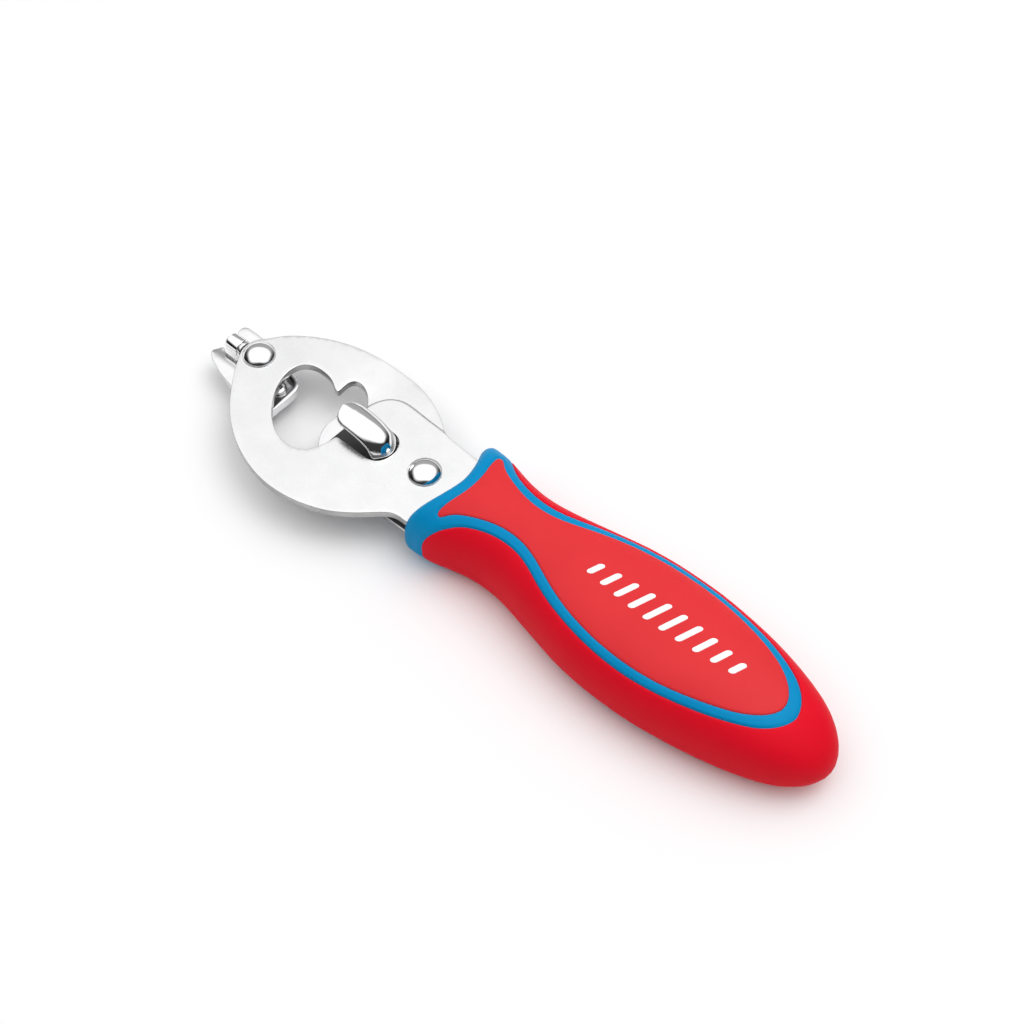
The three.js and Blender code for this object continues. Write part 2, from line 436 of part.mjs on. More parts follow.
// spacer between the tangs, and the two pins that lock them in the grip
let spacer = prism([[8, -6.6], [50, -6.6], [50, 6.6], [8, 6.6]], BACK_TOP + 0.05, P0 - 0.05);
for (const x of TANG_PIN_X) spacer = spacer.subtract(pinBoreZ(x, TANG_PIN_R + 0.1));
piece("tang_spacer", spacer, { color: 0x303236, roughness: 0.6, metalness: 0.0 });
["tang_pin_front", "tang_pin_rear"].forEach((n, i) =>
  piece(n, turned([[0, 2.7], [TANG_PIN_R - 0.3, 2.7], [TANG_PIN_R, 3.0], [TANG_PIN_R, 19.0], [TANG_PIN_R - 0.3, 19.3], [0, 19.3]], TANG_PIN_X[i], 0, 20), STEEL),
);

assembly.position.set(-REST_X, 0, 0);
const part = new THREE.Group();
part.add(assembly);
export default part;
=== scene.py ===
import math
import bpy
import bmesh
import numpy as np
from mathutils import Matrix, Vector, geometry


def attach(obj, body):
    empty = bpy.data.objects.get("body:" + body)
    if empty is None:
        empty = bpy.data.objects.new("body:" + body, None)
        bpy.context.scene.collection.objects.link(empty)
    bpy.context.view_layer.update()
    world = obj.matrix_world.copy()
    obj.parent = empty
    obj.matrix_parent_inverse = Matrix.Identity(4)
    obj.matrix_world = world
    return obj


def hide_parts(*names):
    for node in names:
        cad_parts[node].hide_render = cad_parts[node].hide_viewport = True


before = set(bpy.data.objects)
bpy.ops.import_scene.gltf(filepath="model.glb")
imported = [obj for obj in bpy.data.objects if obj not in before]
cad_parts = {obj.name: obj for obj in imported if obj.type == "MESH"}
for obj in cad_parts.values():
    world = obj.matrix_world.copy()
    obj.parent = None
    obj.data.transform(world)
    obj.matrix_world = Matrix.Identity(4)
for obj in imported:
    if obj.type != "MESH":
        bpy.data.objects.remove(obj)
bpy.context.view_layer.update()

# All shapes are drawn in millimetres from the design datum; the record's origin lies 45 mm behind it.
REST_X = 45.0
PLATE_TOP, PLATE_T, RING_DROP = 11.8, 2.2, 1.2
BACK_TOP, BACK_T = 7.4, 1.2
HEAD_RIVET, REAR_RIVET = (-83.0, 0.0), (-20.0, 0.0)
GRIP_N, GRIP_Z, GRIP_UP, GRIP_DOWN = 2.6, 7.2, 15.1, 7.5
X_END = 109.1

# ------------------------------------------------------------------ curves and tables
def pchip(table):
    X = np.array([p[0] for p in table], float)
    Y = np.array([p[1] for p in table], float)
    h = np.diff(X)
    s = np.diff(Y) / h
    m = np.zeros(len(X))
    m[0], m[-1] = s[0], s[-1]
    for i in range(1, len(X) - 1):
        if s[i - 1] * s[i] > 0:
            m[i] = 3 * (h[i - 1] + h[i]) / ((2 * h[i] + h[i - 1]) / s[i - 1] + (h[i] + 2 * h[i - 1]) / s[i])

    def f(x):
        x = np.clip(np.asarray(x, float), X[0], X[-1])
        i = np.clip(np.searchsorted(X, x, side="right") - 1, 0, len(X) - 2)
        t = (x - X[i]) / h[i]
        a, b = t * t, t * t * t
        return (2 * b - 3 * a + 1) * Y[i] + (b - 2 * a + t) * h[i] * m[i] + (3 * a - 2 * b) * Y[i + 1] + (b - a) * h[i] * m[i + 1]

    return f


WIDTH = [(-14, 17.42), (-8.3, 17.42), (-4.1, 17.14), (0, 16.03), (4.1, 14.79), (8.3, 13.94), (12.4, 13.6), (16.6, 13.82),
         (20.7, 14.51), (24.8, 15.41), (29, 16.36), (33.1, 17.31), (37.3, 18.3), (41.4, 19.13), (45.5, 19.62), (49.7, 20.0),
         (53.8, 20.12), (58, 20.12), (62.1, 20.0), (66.3, 19.67), (70.4, 19.12), (74.5, 18.5), (78.7, 17.76), (82.8, 16.9),
         (87, 15.88), (91.1, 14.75), (95.2, 13.42), (99.4, 12.0), (103.5, 10.6), (109.5, 8.6)]
_w = pchip(WIDTH)
_xs = np.arange(-14, 110, 0.25)
_raw = _w(_xs)
_k = np.exp(-0.5 * (np.arange(-32, 33) * 0.25 / 2.2) ** 2)
_k /= _k.sum()
_sm = np.convolve(np.pad(_raw, 32, mode="edge"), _k, mode="valid")
_sm[-40:] = _raw[-40:] * np.linspace(0, 1, 40) + _sm[-40:] * np.linspace(1, 0, 40)


def half_width(x):
    x = np.asarray(x, float)
    u = np.clip((x - 91.8) / (X_END - 91.8), 0, 1)
    return np.interp(x, _xs, _sm) * np.sqrt(np.clip(1 - u ** 3.5, 0, 1))


def height_share(x):
    u = np.clip((np.asarray(x, float) - 72) / (X_END - 72), 0, 1)
    return np.sqrt(np.clip(1 - u ** 2.2, 0, 1))


def level(x, y, z):
    """Below 0 inside the grip, above 0 outside it."""
    w = np.maximum(half_width(x), 0.02)
    h = np.maximum(height_share(x) * np.where(z > GRIP_Z, GRIP_UP, GRIP_DOWN), 0.02)
    return (np.abs(y) / w) ** GRIP_N + (np.abs(z - GRIP_Z) / h) ** GRIP_N - 1


def top_z(x, y):
    w = np.maximum(half_width(x), 0.02)
    return GRIP_Z + GRIP_UP * height_share(x) * np.power(np.clip(1 - (np.abs(y) / w) ** GRIP_N, 0, 1), 1 / GRIP_N)


def normals(P):
    e = 0.02
    n = np.stack([level(P[..., 0] + e, P[..., 1], P[..., 2]) - level(P[..., 0] - e, P[..., 1], P[..., 2]),
                  level(P[..., 0], P[..., 1] + e, P[..., 2]) - level(P[..., 0], P[..., 1] - e, P[..., 2]),
                  level(P[..., 0], P[..., 1], P[..., 2] + e) - level(P[..., 0], P[..., 1], P[..., 2] - e)], -1)
    return n / np.maximum(np.linalg.norm(n, axis=-1, keepdims=True), 1e-9)


PANEL = [(-4.4, 11.5), (-4.0, 12.2), (-3.1, 12.2), (-1.8, 10.9), (0, 9.5), (2, 8.45), (4, 7.6), (8, 6.25), (12, 5.45), (16, 5.3), (20, 5.85),
         (24, 7.1), (28, 8.75), (32, 10.35), (36, 11.7), (40, 12.8), (44, 13.6), (48, 14.2), (52, 14.55), (56, 14.7), (60, 14.65),
         (64, 14.4), (68, 13.9), (72, 13.15), (76, 12.2), (80, 11.05), (84, 9.6), (87, 8.2), (90, 6.2), (92, 4.2), (93.3, 2.1)]
PANEL_FRONT = [(-4.2, 10.2), (-3.4, 7.0), (-2.6, 4.0)]
BAND = [(-6.6, 18.6), (-5.6, 17.3), (-4.7, 16.6), (-3.4, 15.7), (-2.3, 14.8), (-1.1, 13.8), (0.1, 12.9), (2, 11.5), (4, 10.4),
        (8, 8.95), (12, 8.15), (16, 8.0), (20, 8.5), (24, 9.75), (28, 11.4), (32, 12.85), (36, 14.0), (40, 14.95), (44, 15.7),
        (48, 16.25), (52, 16.6), (56, 16.75), (60, 16.7), (64, 16.4), (68, 15.9), (72, 15.2), (76, 14.35), (80, 13.3),
        (84, 12.0), (88, 10.35), (91.5, 8.5), (94.4, 6.0), (96.3, 3.2)]


def catmull(P, closed, m=12):
    P = np.asarray(P, float)
    n = len(P)
    if closed:
        idx = range(n)
        g = lambda i: P[i % n]
    else:
        idx = range(n - 1)
        g = lambda i: P[i] if 0 <= i < n else (2 * P[0] - P[1] if i < 0 else 2 * P[-1] - P[-2])
    out = []
    for i in idx:
        p0, p1, p2, p3 = g(i - 1), g(i), g(i + 1), g(i + 2)
        # centripetal knots keep the curve from overshooting where points are unevenly spaced
        t0 = 0.0
        t1 = t0 + max(1e-6, np.linalg.norm(p1 - p0)) ** 0.5
        t2 = t1 + max(1e-6, np.linalg.norm(p2 - p1)) ** 0.5
        t3 = t2 + max(1e-6, np.linalg.norm(p3 - p2)) ** 0.5
        for t in np.linspace(t1, t2, m, endpoint=False):
            a1 = (t1 - t) / (t1 - t0) * p0 + (t - t0) / (t1 - t0) * p1
            a2 = (t2 - t) / (t2 - t1) * p1 + (t - t1) / (t2 - t1) * p2
            a3 = (t3 - t) / (t3 - t2) * p2 + (t - t2) / (t3 - t2) * p3
            b1 = (t2 - t) / (t2 - t0) * a1 + (t - t0) / (t2 - t0) * a2
            b2 = (t3 - t) / (t3 - t1) * a2 + (t - t1) / (t3 - t1) * a3
            out.append((t2 - t) / (t2 - t1) * b1 + (t - t1) / (t2 - t1) * b2)
    if not closed:
        out.append(P[-1])
    return np.array(out)


def resample(P, step, closed):
    P = np.asarray(P, float)
    Q = np.vstack([P, P[:1]]) if closed else P
    s = np.r_[0, np.cumsum(np.linalg.norm(np.diff(Q, axis=0), axis=1))]
    n = max(8, int(round(s[-1] / step)))
    t = np.linspace(0, s[-1], n, endpoint=False) if closed else np.linspace(0, s[-1], n + 1)
    return np.stack([np.interp(t, s, Q[:, k]) for k in range(Q.shape[1])], 1)


def relax(P, closed, times, lam=0.5):
    P = P.copy()
    for _ in range(times):
        if closed:
            P += lam * (0.5 * (np.roll(P, 1, 0) + np.roll(P, -1, 0)) - P)
        else:
            P[1:-1] += lam * (0.5 * (P[:-2] + P[2:]) - P[1:-1])
    return P


def area(P):
    x, y = P[:, 0], P[:, 1]
    return 0.5 * np.sum(x * np.roll(y, -1) - y * np.roll(x, -1))


def plan_normals(P, closed):
    if closed:
        t = np.roll(P, -1, 0) - np.roll(P, 1, 0)
    else:
        t = np.gradient(P, axis=0)
    t = t / np.maximum(np.linalg.norm(t, axis=1, keepdims=True), 1e-9)
    return np.stack([t[:, 1], -t[:, 0]], 1)  # outward on an anticlockwise loop


def inside(poly, pts):
    x, y = pts[:, 0], pts[:, 1]
    r = np.zeros(len(pts), bool)
    n = len(poly)
    for i in range(n):
        x0, y0 = poly[i]
        x1, y1 = poly[(i + 1) % n]
        k = (y0 > y) != (y1 > y)
        if k.any():
            r[k] ^= x[k] < (x1 - x0) * (y[k] - y0) / (y1 - y0) + x0
    return r


def distance(poly, pts, closed=True):
    A = poly if closed else poly[:-1]
    B = np.roll(poly, -1, 0) if closed else poly[1:]
    best = np.full(len(pts), 1e9)
    for a, b in zip(A, B):
        d = b - a
        t = np.clip(((pts - a) @ d) / max(1e-12, d @ d), 0, 1)
        best = np.minimum(best, np.linalg.norm(pts - (a + t[:, None] * d), axis=1))
    return best


# ------------------------------------------------------------------ mesh helpers
def build(name, verts, faces, body, nodes, mat, slot, angle=38, merge=2e-6, mm=True, wall=None):
    v = np.asarray(verts, float)
    if mm:
        v = (v - np.array([REST_X, 0, 0])) / 1000.0
    me = bpy.data.meshes.new(name)
    me.from_pydata(v.tolist(), [], [tuple(int(i) for i in f) for f in faces])
    bm = bmesh.new()
    bm.from_mesh(me)
    bmesh.ops.remove_doubles(bm, verts=bm.verts, dist=merge)
    bmesh.ops.dissolve_degenerate(bm, edges=bm.edges, dist=merge * 0.5)
    bmesh.ops.recalc_face_normals(bm, faces=bm.faces)
    bm.to_mesh(me)
    bm.free()
    for p in me.polygons:
        p.use_smooth = True
    me.set_sharp_from_angle(angle=math.radians(angle))
    me.materials.append(mat)
    # faces with a near-horizontal normal take the second material; on the plates this darker steel is painted shade on
    # the edge walls
    if wall is not None:
        me.materials.append(wall)
        for p in me.polygons:
            if abs(p.normal.z) < 0.80:
                p.material_index = 1
    o = bpy.data.objects.new(name, me)
    bpy.context.scene.collection.objects.link(o)
    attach(o, body)
    if nodes:
        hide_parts(*nodes)
    return o


class Soup:
    """Collects several closed shells into one piece."""

    def __init__(s):
        s.v, s.f, s.n = [], [], 0

    def add(s, v, f):
        v = np.asarray(v, float)
        s.v.append(v)
        s.f += [tuple(i + s.n for i in q) for q in f]
        s.n += len(v)

    def out(s):
        return np.vstack(s.v), s.f


def lathe(profile, seg=64, axis="z", at=(0, 0, 0)):
    """Closed turned solid. profile is [(r, h)], open ends lie on the axis, or it closes on itself."""
    prof = np.asarray(profile, float)
    closed = np.allclose(prof[0], prof[-1])
    if closed:
        prof = prof[:-1]
    a = np.linspace(0, 2 * math.pi, seg, endpoint=False)
    V, F = [], []
    rings = []
    for r, h in prof:
        if r < 1e-6:
            rings.append([len(V)])
            V.append((0, 0, h))
        else:
            rings.append(list(range(len(V), len(V) + seg)))
            V += [(r * math.cos(t), r * math.sin(t), h) for t in a]
    m = len(prof)
    for i in range(m if closed else m - 1):
        A, B = rings[i], rings[(i + 1) % m]
        for j in range(seg):
            k = (j + 1) % seg
            if len(A) == 1 and len(B) == 1:
                continue
            if len(A) == 1:
                F.append((A[0], B[k], B[j]))
            elif len(B) == 1:
                F.append((A[j], A[k], B[0]))
            else:
                F.append((A[j], A[k], B[k], B[j]))
    V = np.array(V)
    if axis == "x":
        V = V[:, [2, 0, 1]]
    V = V + np.array(at)
    return V, F


def rounded(profile, r=0.12, n=3):
    """Rounds each corner of a profile, whose ends stay where they are unless it closes."""
    P = [np.array(p, float) for p in profile]
    closed = np.allclose(P[0], P[-1])
    if closed:
        P = P[:-1]
    out = []
    m = len(P)
    for i in range(m):
        if not closed and i in (0, m - 1):
            out.append(P[i])
            continue
        a, b, c = P[i - 1], P[i], P[(i + 1) % m]
        u, v = a - b, c - b
        lu, lv = np.linalg.norm(u), np.linalg.norm(v)
        k = min(r, 0.45 * lu, 0.45 * lv)
        u, v = u / lu, v / lv
        if u @ v < -0.985:
            out.append(b)
            continue
        for t in np.linspace(0, 1, n + 1):
            p, q = b + u * k * (1 - t), b + v * k * t
            out.append(p * (1 - t) + q * t)
    if closed:
        out.append(out[0])
    return out


def sheet(outer, holes, ztop, t, r=0.22, spacing=1.6, extra=None, step=0.45):
    """Flat or gently formed sheet metal with rounded edges: plan outlines, a function for the top face, a thickness."""
    loops = []
    for k, L in enumerate([outer] + list(holes)):
        L = resample(L, step, True)
        a = area(L)
        if (a > 0) != (k == 0):
            L = L[::-1]
        loops.append(L)
    ds = [0.0, 0.08 * r, 0.30 * r, 0.62 * r, r]
    hs = [-r + math.sqrt(max(0, r * r - (r - d) ** 2)) for d in ds]
    V, F = [], []
    inner_top, inner_bot = [], []
    nv = 0
    for L in loops:
        N = plan_normals(L, True)
        n = len(L)
        ring_ids = []
        for side in ("top", "bot"):
            order = range(len(ds) - 1, -1, -1) if side == "top" else range(len(ds))
            for k in order:
                Q = L - N * ds[k]
                zt = ztop(Q[:, 0], Q[:, 1])
                z = zt + hs[k] if side == "top" else zt - t - hs[k]
                V.append(np.column_stack([Q, z]))
                ring_ids.append(nv)
                nv += n
        for a, b in zip(ring_ids[:-1], ring_ids[1:]):
            for j in range(n):
                k = (j + 1) % n
                F.append((a + j, b + j, b + k, a + k))
        inner_top.append((ring_ids[0], n, L - N * ds[-1]))
        inner_bot.append((ring_ids[-1], n, None))
    pts = np.vstack([q for _, _, q in inner_top])
    lo, hi = pts.min(0), pts.max(0)
    gx, gy = np.meshgrid(np.arange(lo[0], hi[0], spacing), np.arange(lo[1], hi[1], spacing * 0.87))
    gx[1::2] += spacing / 2
    G = np.column_stack([gx.ravel(), gy.ravel()])
    if extra is not None:
        far = distance(extra, G, False) > spacing * 0.45 if len(extra) > 1 else np.ones(len(G), bool)
        G = G[far]
        G = np.vstack([G, extra])
    ok = inside(inner_top[0][2], G)
    for _, _, q in inner_top[1:]:
        ok &= ~inside(q, G)
    for _, _, q in inner_top:
        ok[ok] = distance(q, G[ok]) > 0.3
    G = G[ok]
    verts2 = [Vector(p) for p in pts] + [Vector(p) for p in G]
    edges, o = [], 0
    index = []
    for start, n, _ in inner_top:
        edges += [(o + j, o + (j + 1) % n) for j in range(n)]
        index += list(range(start, start + n))
        o += n
    bindex = []
    for start, n, _ in inner_bot:
        bindex += list(range(start, start + n))
    res = geometry.delaunay_2d_cdt(verts2, edges, [], 0, 1e-6, True)
    rv, rf, orig = res[0], res[2], res[3]
    allv = np.array([[v[0], v[1]] for v in rv])
    cen = np.array([allv[list(f)].mean(0) for f in rf])
    keep = inside(inner_top[0][2], cen)
    for _, _, q in inner_top[1:]:
        keep &= ~inside(q, cen)
    tid, bid = {}, {}
    nb = len(pts)
    Gt, Gb = [], []
    for i, src in enumerate(orig):
        src = [s for s in src if s < nb]
        if src:
            tid[i], bid[i] = index[src[0]], bindex[src[0]]
    used = sorted(set(i for f, k in zip(rf, keep) if k for i in f if i not in tid))
    zt = ztop(allv[used][:, 0], allv[used][:, 1]) if used else np.zeros(0)
    for q, i in enumerate(used):
        tid[i], bid[i] = nv + q, nv + len(used) + q
    if used:
        V.append(np.column_stack([allv[used], zt]))
        V.append(np.column_stack([allv[used], zt - t]))
    for f, k in zip(rf, keep):
        if k:
            F.append(tuple(tid[i] for i in f))
            F.append(tuple(bid[i] for i in reversed(f)))
    return np.vstack(V), F


# ------------------------------------------------------------------ materials
def nodes_of(name):
    m = bpy.data.materials.new(name)
    m.use_nodes = True
    nt = m.node_tree
    b = nt.nodes["Principled BSDF"]
    return m, nt, b


def ramp(nt, fac, lo, hi, a, b):
    r = nt.nodes.new("ShaderNodeMapRange")
    r.inputs["From Min"].default_value, r.inputs["From Max"].default_value = lo, hi
    r.inputs["To Min"].default_value, r.inputs["To Max"].default_value = a, b
    nt.links.new(fac, r.inputs["Value"])
    return r.outputs["Result"]


def noise(nt, scale, detail=3.0, rough=0.5, stretch=None, coord="Object"):
    tc = nt.nodes.new("ShaderNodeTexCoord")
    n = nt.nodes.new("ShaderNodeTexNoise")
    n.inputs["Scale"].default_value = scale
    n.inputs["Detail"].default_value = detail
    n.inputs["Roughness"].default_value = rough
    if stretch:
        mp = nt.nodes.new("ShaderNodeMapping")
        mp.inputs["Scale"].default_value = stretch
        nt.links.new(tc.outputs[coord], mp.inputs["Vector"])
        nt.links.new(mp.outputs["Vector"], n.inputs["Vector"])
    else:
        nt.links.new(tc.outputs[coord], n.inputs["Vector"])
    return n.outputs["Fac"]


def bump(nt, b, height, strength, dist, chain=None):
    n = nt.nodes.new("ShaderNodeBump")
    n.inputs["Strength"].default_value = strength
    n.inputs["Distance"].default_value = dist
    nt.links.new(height, n.inputs["Height"])
    if chain is not None:
        nt.links.new(chain, n.inputs["Normal"])
    nt.links.new(n.outputs["Normal"], b.inputs["Normal"])
    return n.outputs["Normal"]


def mixrgb(nt, fac, c1, c2):
    m = nt.nodes.new("ShaderNodeMix")
    m.data_type = "RGBA"
    m.inputs["A"].default_value = (*c1, 1)
    m.inputs["B"].default_value = (*c2, 1)
    nt.links.new(fac, m.inputs["Factor"])
    return m.outputs["Result"]


def metal(name, c1, c2, rough, grain=None, rvar=0.06, strength=0.12, stretch=None):
    m, nt, b = nodes_of(name)
    b.inputs["Metallic"].default_value = 1.0
    n = noise(nt, 120, 4)
    nt.links.new(mixrgb(nt, ramp(nt, n, 0.35, 0.65, 0, 1), c1, c2), b.inputs["Base Color"])
    n2 = noise(nt, grain or 900, 3, 0.6, stretch)
    nt.links.new(ramp(nt, n2, 0.3, 0.7, rough - rvar, rough + rvar), b.inputs["Roughness"])
    bump(nt, b, n2, strength, 0.00004)
    return m


SATIN = metal("satin_stainless", (0.80, 0.80, 0.803), (0.755, 0.755, 0.76), 0.31, 2600, 0.06, 0.25)
BRIGHT = metal("bright_pressed_steel", (0.82, 0.82, 0.825), (0.745, 0.745, 0.75), 0.19, 1500, 0.05, 0.08)
BLADE = metal("ground_steel", (0.68, 0.68, 0.70), (0.56, 0.56, 0.58), 0.24, 2200, 0.06, 0.18)
PLAIN = metal("zinc_steel", (0.62, 0.63, 0.65), (0.50, 0.51, 0.53), 0.32, 1300, 0.08, 0.15)
# darker steel for the edge walls of the head and backing plates: painted shade for the dimly lit, occluded walls
EDGE_PAINTED_SHADE = metal("steel_edge_painted_shade", (0.50, 0.49, 0.485), (0.38, 0.375, 0.37), 0.20, 900, 0.08, 0.3, (1, 1, 0.2))
POLISHED = metal("polished_backing_steel", (0.80, 0.80, 0.805), (0.74, 0.74, 0.75), 0.12, 1800, 0.03, 0.05)
# near-black metal for the cap lifter's underside and root: painted shade
LIFTER_PAINTED_SHADE = metal("lifter_underside_painted_shade", (0.10, 0.10, 0.10), (0.06, 0.06, 0.06), 0.45, 1500, 0.08, 0.15)
CHROME = metal("polished_chrome", (0.90, 0.90, 0.905), (0.86, 0.86, 0.87), 0.10, 700, 0.025, 0.03)


def plastic(name, c1, c2, rough, spec=0.5, grain=2200, strength=0.10, sheen=0.0, coat=0.0):
    m, nt, b = nodes_of(name)
    b.inputs["Specular IOR Level"].default_value = spec
    if sheen:
        b.inputs["Sheen Weight"].default_value = sheen
        b.inputs["Sheen Roughness"].default_value = 0.4
    if coat:
        b.inputs["Coat Weight"].default_value = coat
        b.inputs["Coat Roughness"].default_value = 0.35
    n = noise(nt, 55, 5, 0.6)
    nt.links.new(mixrgb(nt, ramp(nt, n, 0.3, 0.7, 0, 1), c1, c2), b.inputs["Base Color"])
    n2 = noise(nt, grain, 2, 0.5)
    nt.links.new(ramp(nt, n2, 0.3, 0.7, rough - 0.06, rough + 0.06), b.inputs["Roughness"])
    n3 = noise(nt, 260, 3, 0.5)
    c = bump(nt, b, n3, strength * 0.5, 0.0002)
    bump(nt, b, n2, strength, 0.00005, c)
    return m


BLUE = plastic("blue_moulded_plastic", (0.0, 0.275, 0.570), (0.0, 0.250, 0.535), 0.45, 0.08)
# the panels' red is a lighter, pinker copy of the side piece's red: painted sheen from the overhead light; the side
# piece keeps the plain red
RED_PANEL_PAINTED_SHEEN = plastic("red_panel_soft_touch_painted_sheen", (0.760, 0.030, 0.036), (0.710, 0.025, 0.031), 0.52, 0.18)
RED_SIDE = plastic("red_side_soft_touch", (0.800, 0.006, 0.022), (0.750, 0.005, 0.018), 0.50, 0.06)
INK = plastic("white_print", (0.93, 0.93, 0.93), (0.90, 0.90, 0.90), 0.45, 0.2)
# near-black plastic: the tang spacer's colour, and painted shade on the sheet under the slot
DARK = plastic("black_moulded_plastic_and_painted_shade", (0.03, 0.03, 0.032), (0.022, 0.022, 0.024), 0.5)

# ------------------------------------------------------------------ camera, light, floor
cam = bpy.data.cameras.new("camera")
cam.lens, cam.sensor_width, cam.sensor_fit = 1575 / 1024 * 36.0, 36.0, "HORIZONTAL"
cam.clip_start, cam.clip_end = 0.01, 20
co = bpy.data.objects.new("camera", cam)
bpy.context.scene.collection.objects.link(co)
az, el, D = math.radians(41.2), math.radians(53.3), 0.420
tgt = Vector((-0.045, 0.0119, 0.0))
co.location = tgt + D * Vector((math.sin(az) * math.cos(el), -math.cos(az) * math.cos(el), math.sin(el)))
co.rotation_euler = (tgt - co.location).to_track_quat("-Z", "Y").to_euler()
bpy.context.scene.camera = co

bpy.context.scene.view_settings.view_transform = "Standard"
bpy.context.scene.view_settings.look = "None"

fm = bpy.data.meshes.new("floor")
fm.from_pydata([(-3, -3, 0), (3, -3, 0), (3, 3, 0), (-3, 3, 0)], [], [(0, 1, 2, 3)])
floor = bpy.data.objects.new("floor", fm)
bpy.context.scene.collection.objects.link(floor)
m, nt, b = nodes_of("floor_paper")
b.inputs["Base Color"].default_value = (0.93, 0.93, 0.935, 1)
b.inputs["Roughness"].default_value = 0.9
b.inputs["Specular IOR Level"].default_value = 0.1
fm.materials.append(m)
floor.location.z = -0.00002

SOFTBOX, FAR_GREY, NEAR_DARK = 1.27, 0.42, 0.04
world = bpy.data.worlds.new("studio")
bpy.context.scene.world = world
world.use_nodes = True
wn = world.node_tree
bg = wn.nodes["Background"]
tc = wn.nodes.new("ShaderNodeTexCoord")
sep = wn.nodes.new("ShaderNodeSeparateXYZ")
wn.links.new(tc.outputs["Generated"], sep.inputs[0])


def wmath(op, a, b=None):
    n = wn.nodes.new("ShaderNodeMath")
    n.operation = op
    for i, v in enumerate((a, b)):
        if v is None:
            continue
        if isinstance(v, (int, float)):
            n.inputs[i].default_value = v
        else:
            wn.links.new(v, n.inputs[i])
    return n.outputs[0]


# one broad overhead softbox drawn in the sky: long across the tool, with grey and dark flags round it
X0, Y0, Z0 = sep.outputs["X"], sep.outputs["Y"], sep.outputs["Z"]
ca, sa = math.cos(az), math.sin(az)
u = wmath("SUBTRACT", wmath("MULTIPLY", X0, sa), wmath("MULTIPLY", Y0, ca))
w = wmath("ADD", wmath("MULTIPLY", X0, ca), wmath("MULTIPLY", Y0, sa))
du = wmath("DIVIDE", wmath("SUBTRACT", u, -0.03), 0.74)
dw = wmath("DIVIDE", w, 0.86)
rr = wmath("ADD", wmath("POWER", wmath("ABSOLUTE", du), 2.6), wmath("POWER", wmath("ABSOLUTE", dw), 2.6))


def wramp(v, lo, hi, a, b, smooth=True):
    n = wn.nodes.new("ShaderNodeMapRange")
    n.interpolation_type = "SMOOTHSTEP" if smooth else "LINEAR"
    wn.links.new(v, n.inputs["Value"])
    for k, x in zip(("From Min", "From Max", "To Min", "To Max"), (lo, hi, a, b)):
        n.inputs[k].default_value = x
    return n.outputs["Result"]


box_w = wramp(rr, 0.72, 1.25, 1.0, 0.0)
far = wramp(u, -0.95, 0.25, FAR_GREY, NEAR_DARK)
low_dark = wramp(Z0, 0.10, 0.15, 0.55, 1.0)
side_dark = wramp(wmath("ABSOLUTE", w), 0.55, 0.88, 1.0, 0.18)
rest = wmath("MULTIPLY", wmath("MULTIPLY", far, low_dark), side_dark)
val = wmath("ADD", wmath("MULTIPLY", box_w, SOFTBOX), wmath("MULTIPLY", wmath("SUBTRACT", 1.0, box_w), rest))
comb = wn.nodes.new("ShaderNodeCombineColor")
for k in ("Red", "Green", "Blue"):
    wn.links.new(val, comb.inputs[k])
wn.links.new(comb.outputs["Color"], bg.inputs["Color"])
bg.inputs["Strength"].default_value = 1.0


def area_light(name, loc, target, size, power, size_y=None):
    L = bpy.data.lights.new(name, "AREA")
    L.shape = "RECTANGLE"
    L.size, L.size_y = size, size_y or size
    L.energy = power
    o = bpy.data.objects.new(name, L)
    bpy.context.scene.collection.objects.link(o)
    o.location = Vector(loc)
    o.rotation_euler = (Vector(target) - Vector(loc)).to_track_quat("-Z", "Y").to_euler()
    return o


area_light("key", (0.22, 0.50, 1.30), (-0.02, 0, 0), 0.9, 4.6)

# ------------------------------------------------------------------ grip outlines
half = np.array(PANEL)
loop = np.vstack([half, [[93.75, 0]], half[::-1] * [1, -1], np.array(PANEL_FRONT) * [1, -1], [[-2.3, 0]], np.array(PANEL_FRONT)[::-1]])
panel = resample(catmull(loop, True, 10), 0.3, True)
panel = relax(panel, True, 8)
panel = resample(panel, 0.55, True)
if area(panel) < 0:
    panel = panel[::-1]
bh = np.array(BAND)
bl = np.vstack([bh, [[97.2, 0]], bh[::-1] * [1, -1]])
band = resample(catmull(bl, False, 10), 0.3, False)
band = relax(band, False, 8)
band_closed = np.vstack([[[-40, 40]], [[-12, 26]], band, [[-12, -26]], [[-40, -40]]])

EDGE_R, GROOVE, SHELL, TOP_SINK = 0.42, 0.40, 1.3, 0.03
DS = np.array([0.0, 0.04, 0.12, 0.24, EDGE_R])
HS = -EDGE_R + np.sqrt(np.maximum(0, EDGE_R ** 2 - (EDGE_R - DS) ** 2))


